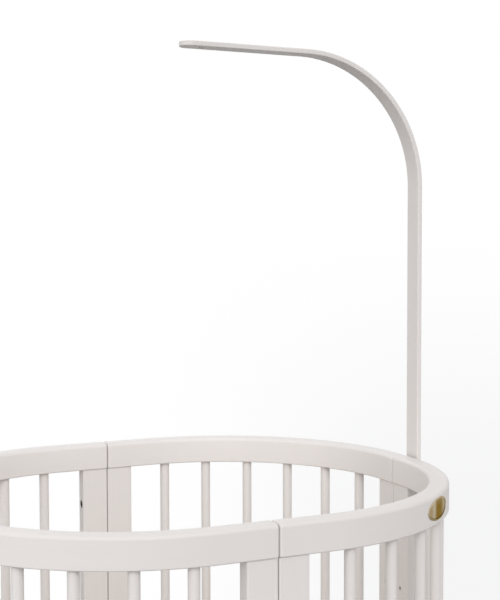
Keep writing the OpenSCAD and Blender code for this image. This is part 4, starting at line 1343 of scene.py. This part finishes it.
class CRADLE_OT_studio(bpy.types.Operator):
    """Pale floor, plain soft light and the camera of the photograph"""

    bl_idname = "cradle.studio"
    bl_label = "Studio"

    def execute(self, context):
        studio = context.scene.cradle_studio
        self.camera(context, studio)
        self.world(context, studio)
        self.floor()
        context.scene.view_settings.view_transform = "Standard"
        self.lamp("front", -100.0, 30.0, studio.front)
        self.lamp("side", -170.0, 8.0, studio.side)
        self.lamp("back", 75.0, 35.0, studio.back)
        return {"FINISHED"}

    def camera(self, context, studio):
        data = bpy.data.cameras.new("camera")
        data.lens, data.sensor_width, data.sensor_fit = studio.lens, 36.0, "AUTO"
        data.clip_start, data.clip_end = 0.05, 60.0
        camera = in_scene("camera", data)
        axes = Matrix(camera_axes(studio)).transposed().to_4x4()
        camera.matrix_world = Matrix.Translation(Vector(studio.eye)) @ axes
        context.scene.camera = camera
        context.view_layer.update()

    def lamp(self, name, azimuth, elevation, strength):
        """A broad soft lamp. Its light comes from azimuth, in degrees from +X towards +Y, and from elevation."""
        a, e = math.radians(azimuth), math.radians(elevation)
        way = Vector((math.cos(a) * math.cos(e), math.sin(a) * math.cos(e), math.sin(e)))
        data = bpy.data.lights.new(name, "SUN")
        wide = math.radians(40.0)
        data.energy, data.angle = strength, wide
        lamp = in_scene(name, data)
        lamp.matrix_world = Matrix.Translation(way * 4) @ way.to_track_quat("Z", "Y").to_matrix().to_4x4()

    def world(self, context, studio):
        """White, with a hint of grey low on the right, to the camera and in reflections; even room light else."""
        world = context.scene.world or bpy.data.worlds.new("room")
        context.scene.world = world
        world.use_nodes = True
        n = Nodes(world.node_tree)
        way = n.node("ShaderNodeTexCoord", output="Generated")
        low = (0.02 - n.split(way, 2)).rise(0.0, 0.26)
        side = (n.split(way, 0) * 0.9 - n.split(way, 1) * 0.42).rise(-0.10, 0.16)
        shown = n.between(low * side, (1.0, 1.0, 1.0), (0.915, 0.915, 0.918))
        path = [n.node("ShaderNodeLightPath", output=name)
                for name in ("Is Camera Ray", "Is Glossy Ray", "Is Transmission Ray")]
        seen = path[0].most(path[1]).most(path[2])
        white = n.node("ShaderNodeBackground", {}, {"Color": shown, "Strength": 1.0})
        height = n.split(way, 2)
        even = height.most(0.0) * (studio.zenith - studio.horizon) + studio.horizon
        light = n.node("ShaderNodeBackground", {}, {"Color": (1.0, 1.0, 1.0, 1.0),
                                                    "Strength": height.rise(-0.04, 0.04) * even})
        both = n.node("ShaderNodeMixShader", {}, {0: seen, 1: light, 2: white})
        n.node("ShaderNodeOutputWorld", {}, {"Surface": both})

    def floor(self):
        """A pale disc that keeps the shadow and fades to white at its edge."""
        radius, steps = 2.05, 96
        t = np.linspace(0, 2 * np.pi, steps, endpoint=False)
        rim = np.stack([radius * np.cos(t), radius * np.sin(t), np.zeros_like(t)], -1)
        mesh = bpy.data.meshes.new("floor")
        mesh.from_pydata(rim, [], [list(range(steps))])
        material, n = new_finish("floor")
        place = n.place()
        x, y = n.split(place, 0), n.split(place, 1)
        away = ((x * x + y * y) ** 0.5).rise(0.75, radius - 0.02)
        seen = n.node("ShaderNodeLightPath", output="Is Camera Ray")
        below = n.node("ShaderNodeNewGeometry", output="Backfacing")
        matt = n.node("ShaderNodeBsdfDiffuse", {}, {"Color": (0.55, 0.55, 0.55, 1.0)})
        glow = n.node("ShaderNodeEmission", {}, {"Color": (1.0, 1.0, 1.0, 1.0), "Strength": 0.42})
        none = n.node("ShaderNodeEmission", {}, {"Strength": 0.0})
        lift = n.node("ShaderNodeMixShader", {}, {0: seen, 1: none, 2: glow})
        lit = n.node("ShaderNodeAddShader", {}, {0: matt, 1: lift})
        clear = n.node("ShaderNodeBsdfTransparent")
        whole = n.node("ShaderNodeMixShader", {}, {0: (away * seen).most(below), 1: lit, 2: clear})
        n.node("ShaderNodeOutputMaterial", {}, {"Surface": whole})
        mesh.materials.append(material)
        in_scene("floor", mesh)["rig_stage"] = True


class CRADLE_OT_points(bpy.types.Operator):
    """Works out how far each named place shows from its point in the photograph; the result is not kept."""

    bl_idname = "cradle.points"
    bl_label = "Image points"

    def execute(self, context):
        rails = ["rail_" + quadrant for quadrant in QUADRANTS]
        points, faces = finished(sorted(piece.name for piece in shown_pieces()))
        tree = BVHTree.FromPolygons(points.tolist(), faces.tolist())

        def shows(pieces, near, reach):
            """Image places of the finished vertices of some pieces that the camera sees near a point."""
            mine, _ = finished(pieces)
            flat = in_image(mine)
            close = np.hypot(*(flat - np.array(near)).T) < reach
            eye = context.scene.camera.location
            kept = []
            for spot, place in zip(mine[close], flat[close]):
                way = Vector(spot) - eye
                hit = tree.ray_cast(eye, way.normalized())
                if hit[0] is None or hit[3] > way.length - 0.0015:
                    kept.append(place)
            return np.array(kept) if kept else np.full((1, 2), np.nan)

        def edge(name, pieces, side, reach=14.0):
            """Distance of the outermost vertex that shows, in x or in y."""
            point = IMAGE_POINTS[name]
            seen = shows(pieces, point, reach)
            axis, pick = {"right": (0, np.max), "left": (0, np.min), "top": (1, np.min), "bottom": (1, np.max)}[side]
            away = [None, None]
            away[axis] = round(float(pick(seen[:, axis]) - point[axis]), 2)
            return away

        def off(name, shown):
            """How far a place in the image lies from a point."""
            return [round(float(v), 2) for v in shown - np.array(IMAGE_POINTS[name])]

        def spot(name, place):
            """How far a place in the frame shows from its point."""
            return off(name, in_image([place])[0])

        def upright(name, x, y):
            """How far to the side an upright edge shows from its point."""
            point = IMAGE_POINTS[name]
            foot, head = in_image([(x, y, POST_LOW.z), (x, y, POST_HIGH.z)])
            share = (point[1] - foot[1]) / (head[1] - foot[1])
            return [round(float(foot[0] + share * (head[0] - foot[0]) - point[0]), 2), None]

        def bar(name):
            """How far to the side the middle of a bar shows, between its outermost vertices at the point's height."""
            point = IMAGE_POINTS[name]
            mine = finished(["round_bars_back_right", "round_bars_back_left"])[0]
            mine[:, 2] = place_on(point, tree).z
            here = in_image(mine)[:, 0]
            here = here[np.abs(here - point[0]) < 7]
            return [round(float((here.min() + here.max()) / 2 - point[0]), 2), None]

        hole = shows(["rod"], IMAGE_POINTS["rod_hole"], 4.5)
        face, base_hole = HALF_L - POST_THICK / 2, (POST_LOW.x + POST_HIGH.x) / 2
        plate_middle = plate_place(*np.zeros(3))
        result = {
            "object_right": edge("object_right", rails, "right", 16.0),
            "object_top": edge("object_top", ["rod"], "top", 9.0),
            "rod_tip_left": edge("rod_tip_left", ["rod"], "left", 9.0),
            "rod_hole": off("rod_hole", hole.mean(0)),
            "rod_leg_right": edge("rod_leg_right", ["rod"], "right", 30.0),
            "front_seam_top": spot("front_seam_top", (0, -HALF_W - RAIL_HALF + 0.002, RAIL_HIGH.z - 0.002)),
            "front_seam_bottom": spot("front_seam_bottom", (0, -HALF_W - RAIL_HALF, RAIL_LOW.z)),
            "back_seam_top": spot("back_seam_top", (0, HALF_W - RAIL_HALF + 0.002, RAIL_HIGH.z - 0.002)),
            "right_seam_bottom": spot("right_seam_bottom", (HALF_L - RAIL_HALF, 0, RAIL_LOW.z)),
            "back_rail_top": edge("back_rail_top", rails, "top", 9.0),
            "front_rail_bottom": edge("front_rail_bottom", ["rail_front_left"], "bottom", 9.0),
            "oval_plate": spot("oval_plate", plate_middle),
            "bolt_hole": spot("bolt_hole", (-POST_SIDE, HALF_W, BOLT_Z[2])),
            "base_hole_left": spot("base_hole_left", (face, base_hole, INSERT_Z[2])),
            "base_hole_right": spot("base_hole_right", (face, -base_hole, INSERT_Z[2])),
            "back_bar": bar("back_bar"),
            "front_post_right": upright("front_post_right", POST_SIDE, -POST_OUT_Y),
        }
        middle = place_on(IMAGE_POINTS["oval_plate"], tree) - Vector(plate_middle)
        return {"FINISHED"}


# ---------------------------------------------------------------- add-on

OPERATORS = (
    CRADLE_OT_studio, CRADLE_OT_top_rails, CRADLE_OT_low_rails, CRADLE_OT_half_posts, CRADLE_OT_bars,
    CRADLE_OT_oval_plate, CRADLE_OT_canopy_rod, CRADLE_OT_rod_holder, CRADLE_OT_base, CRADLE_OT_fasteners,
    CRADLE_OT_castors, CRADLE_OT_points)
GROUPS = {"cradle_shape": CRADLE_PG_shape, "cradle_finish": CRADLE_PG_finish, "cradle_studio": CRADLE_PG_studio}


class CRADLE_PT_panel(bpy.types.Panel):
    """The cradle's pieces, sizes and finishes"""

    bl_label = "Baby cradle"
    bl_idname = "CRADLE_PT_panel"
    bl_space_type = "VIEW_3D"
    bl_region_type = "UI"
    bl_category = "Cradle"

    def draw(self, context):
        for name, group in GROUPS.items():
            box = self.layout.box()
            for field in group.__annotations__:
                box.prop(getattr(context.scene, name), field)
        for operator in OPERATORS:
            self.layout.operator(operator.bl_idname)


def register():
    for name, group in GROUPS.items():
        bpy.utils.register_class(group)
        setattr(bpy.types.Scene, name, PointerProperty(type=group))
    for part in (*OPERATORS, CRADLE_PT_panel):
        bpy.utils.register_class(part)


def unregister():
    for part in reversed((*OPERATORS, CRADLE_PT_panel)):
        bpy.utils.unregister_class(part)
    for name, group in GROUPS.items():
        delattr(bpy.types.Scene, name)
        bpy.utils.unregister_class(group)


def main():
    register()
    for operator in OPERATORS:
        family, name = operator.bl_idname.split(".")
        if getattr(getattr(bpy.ops, family), name)() != {"FINISHED"}:
            raise RuntimeError(operator.bl_label + " didn't finish")


if __name__ == "__main__":
    main()
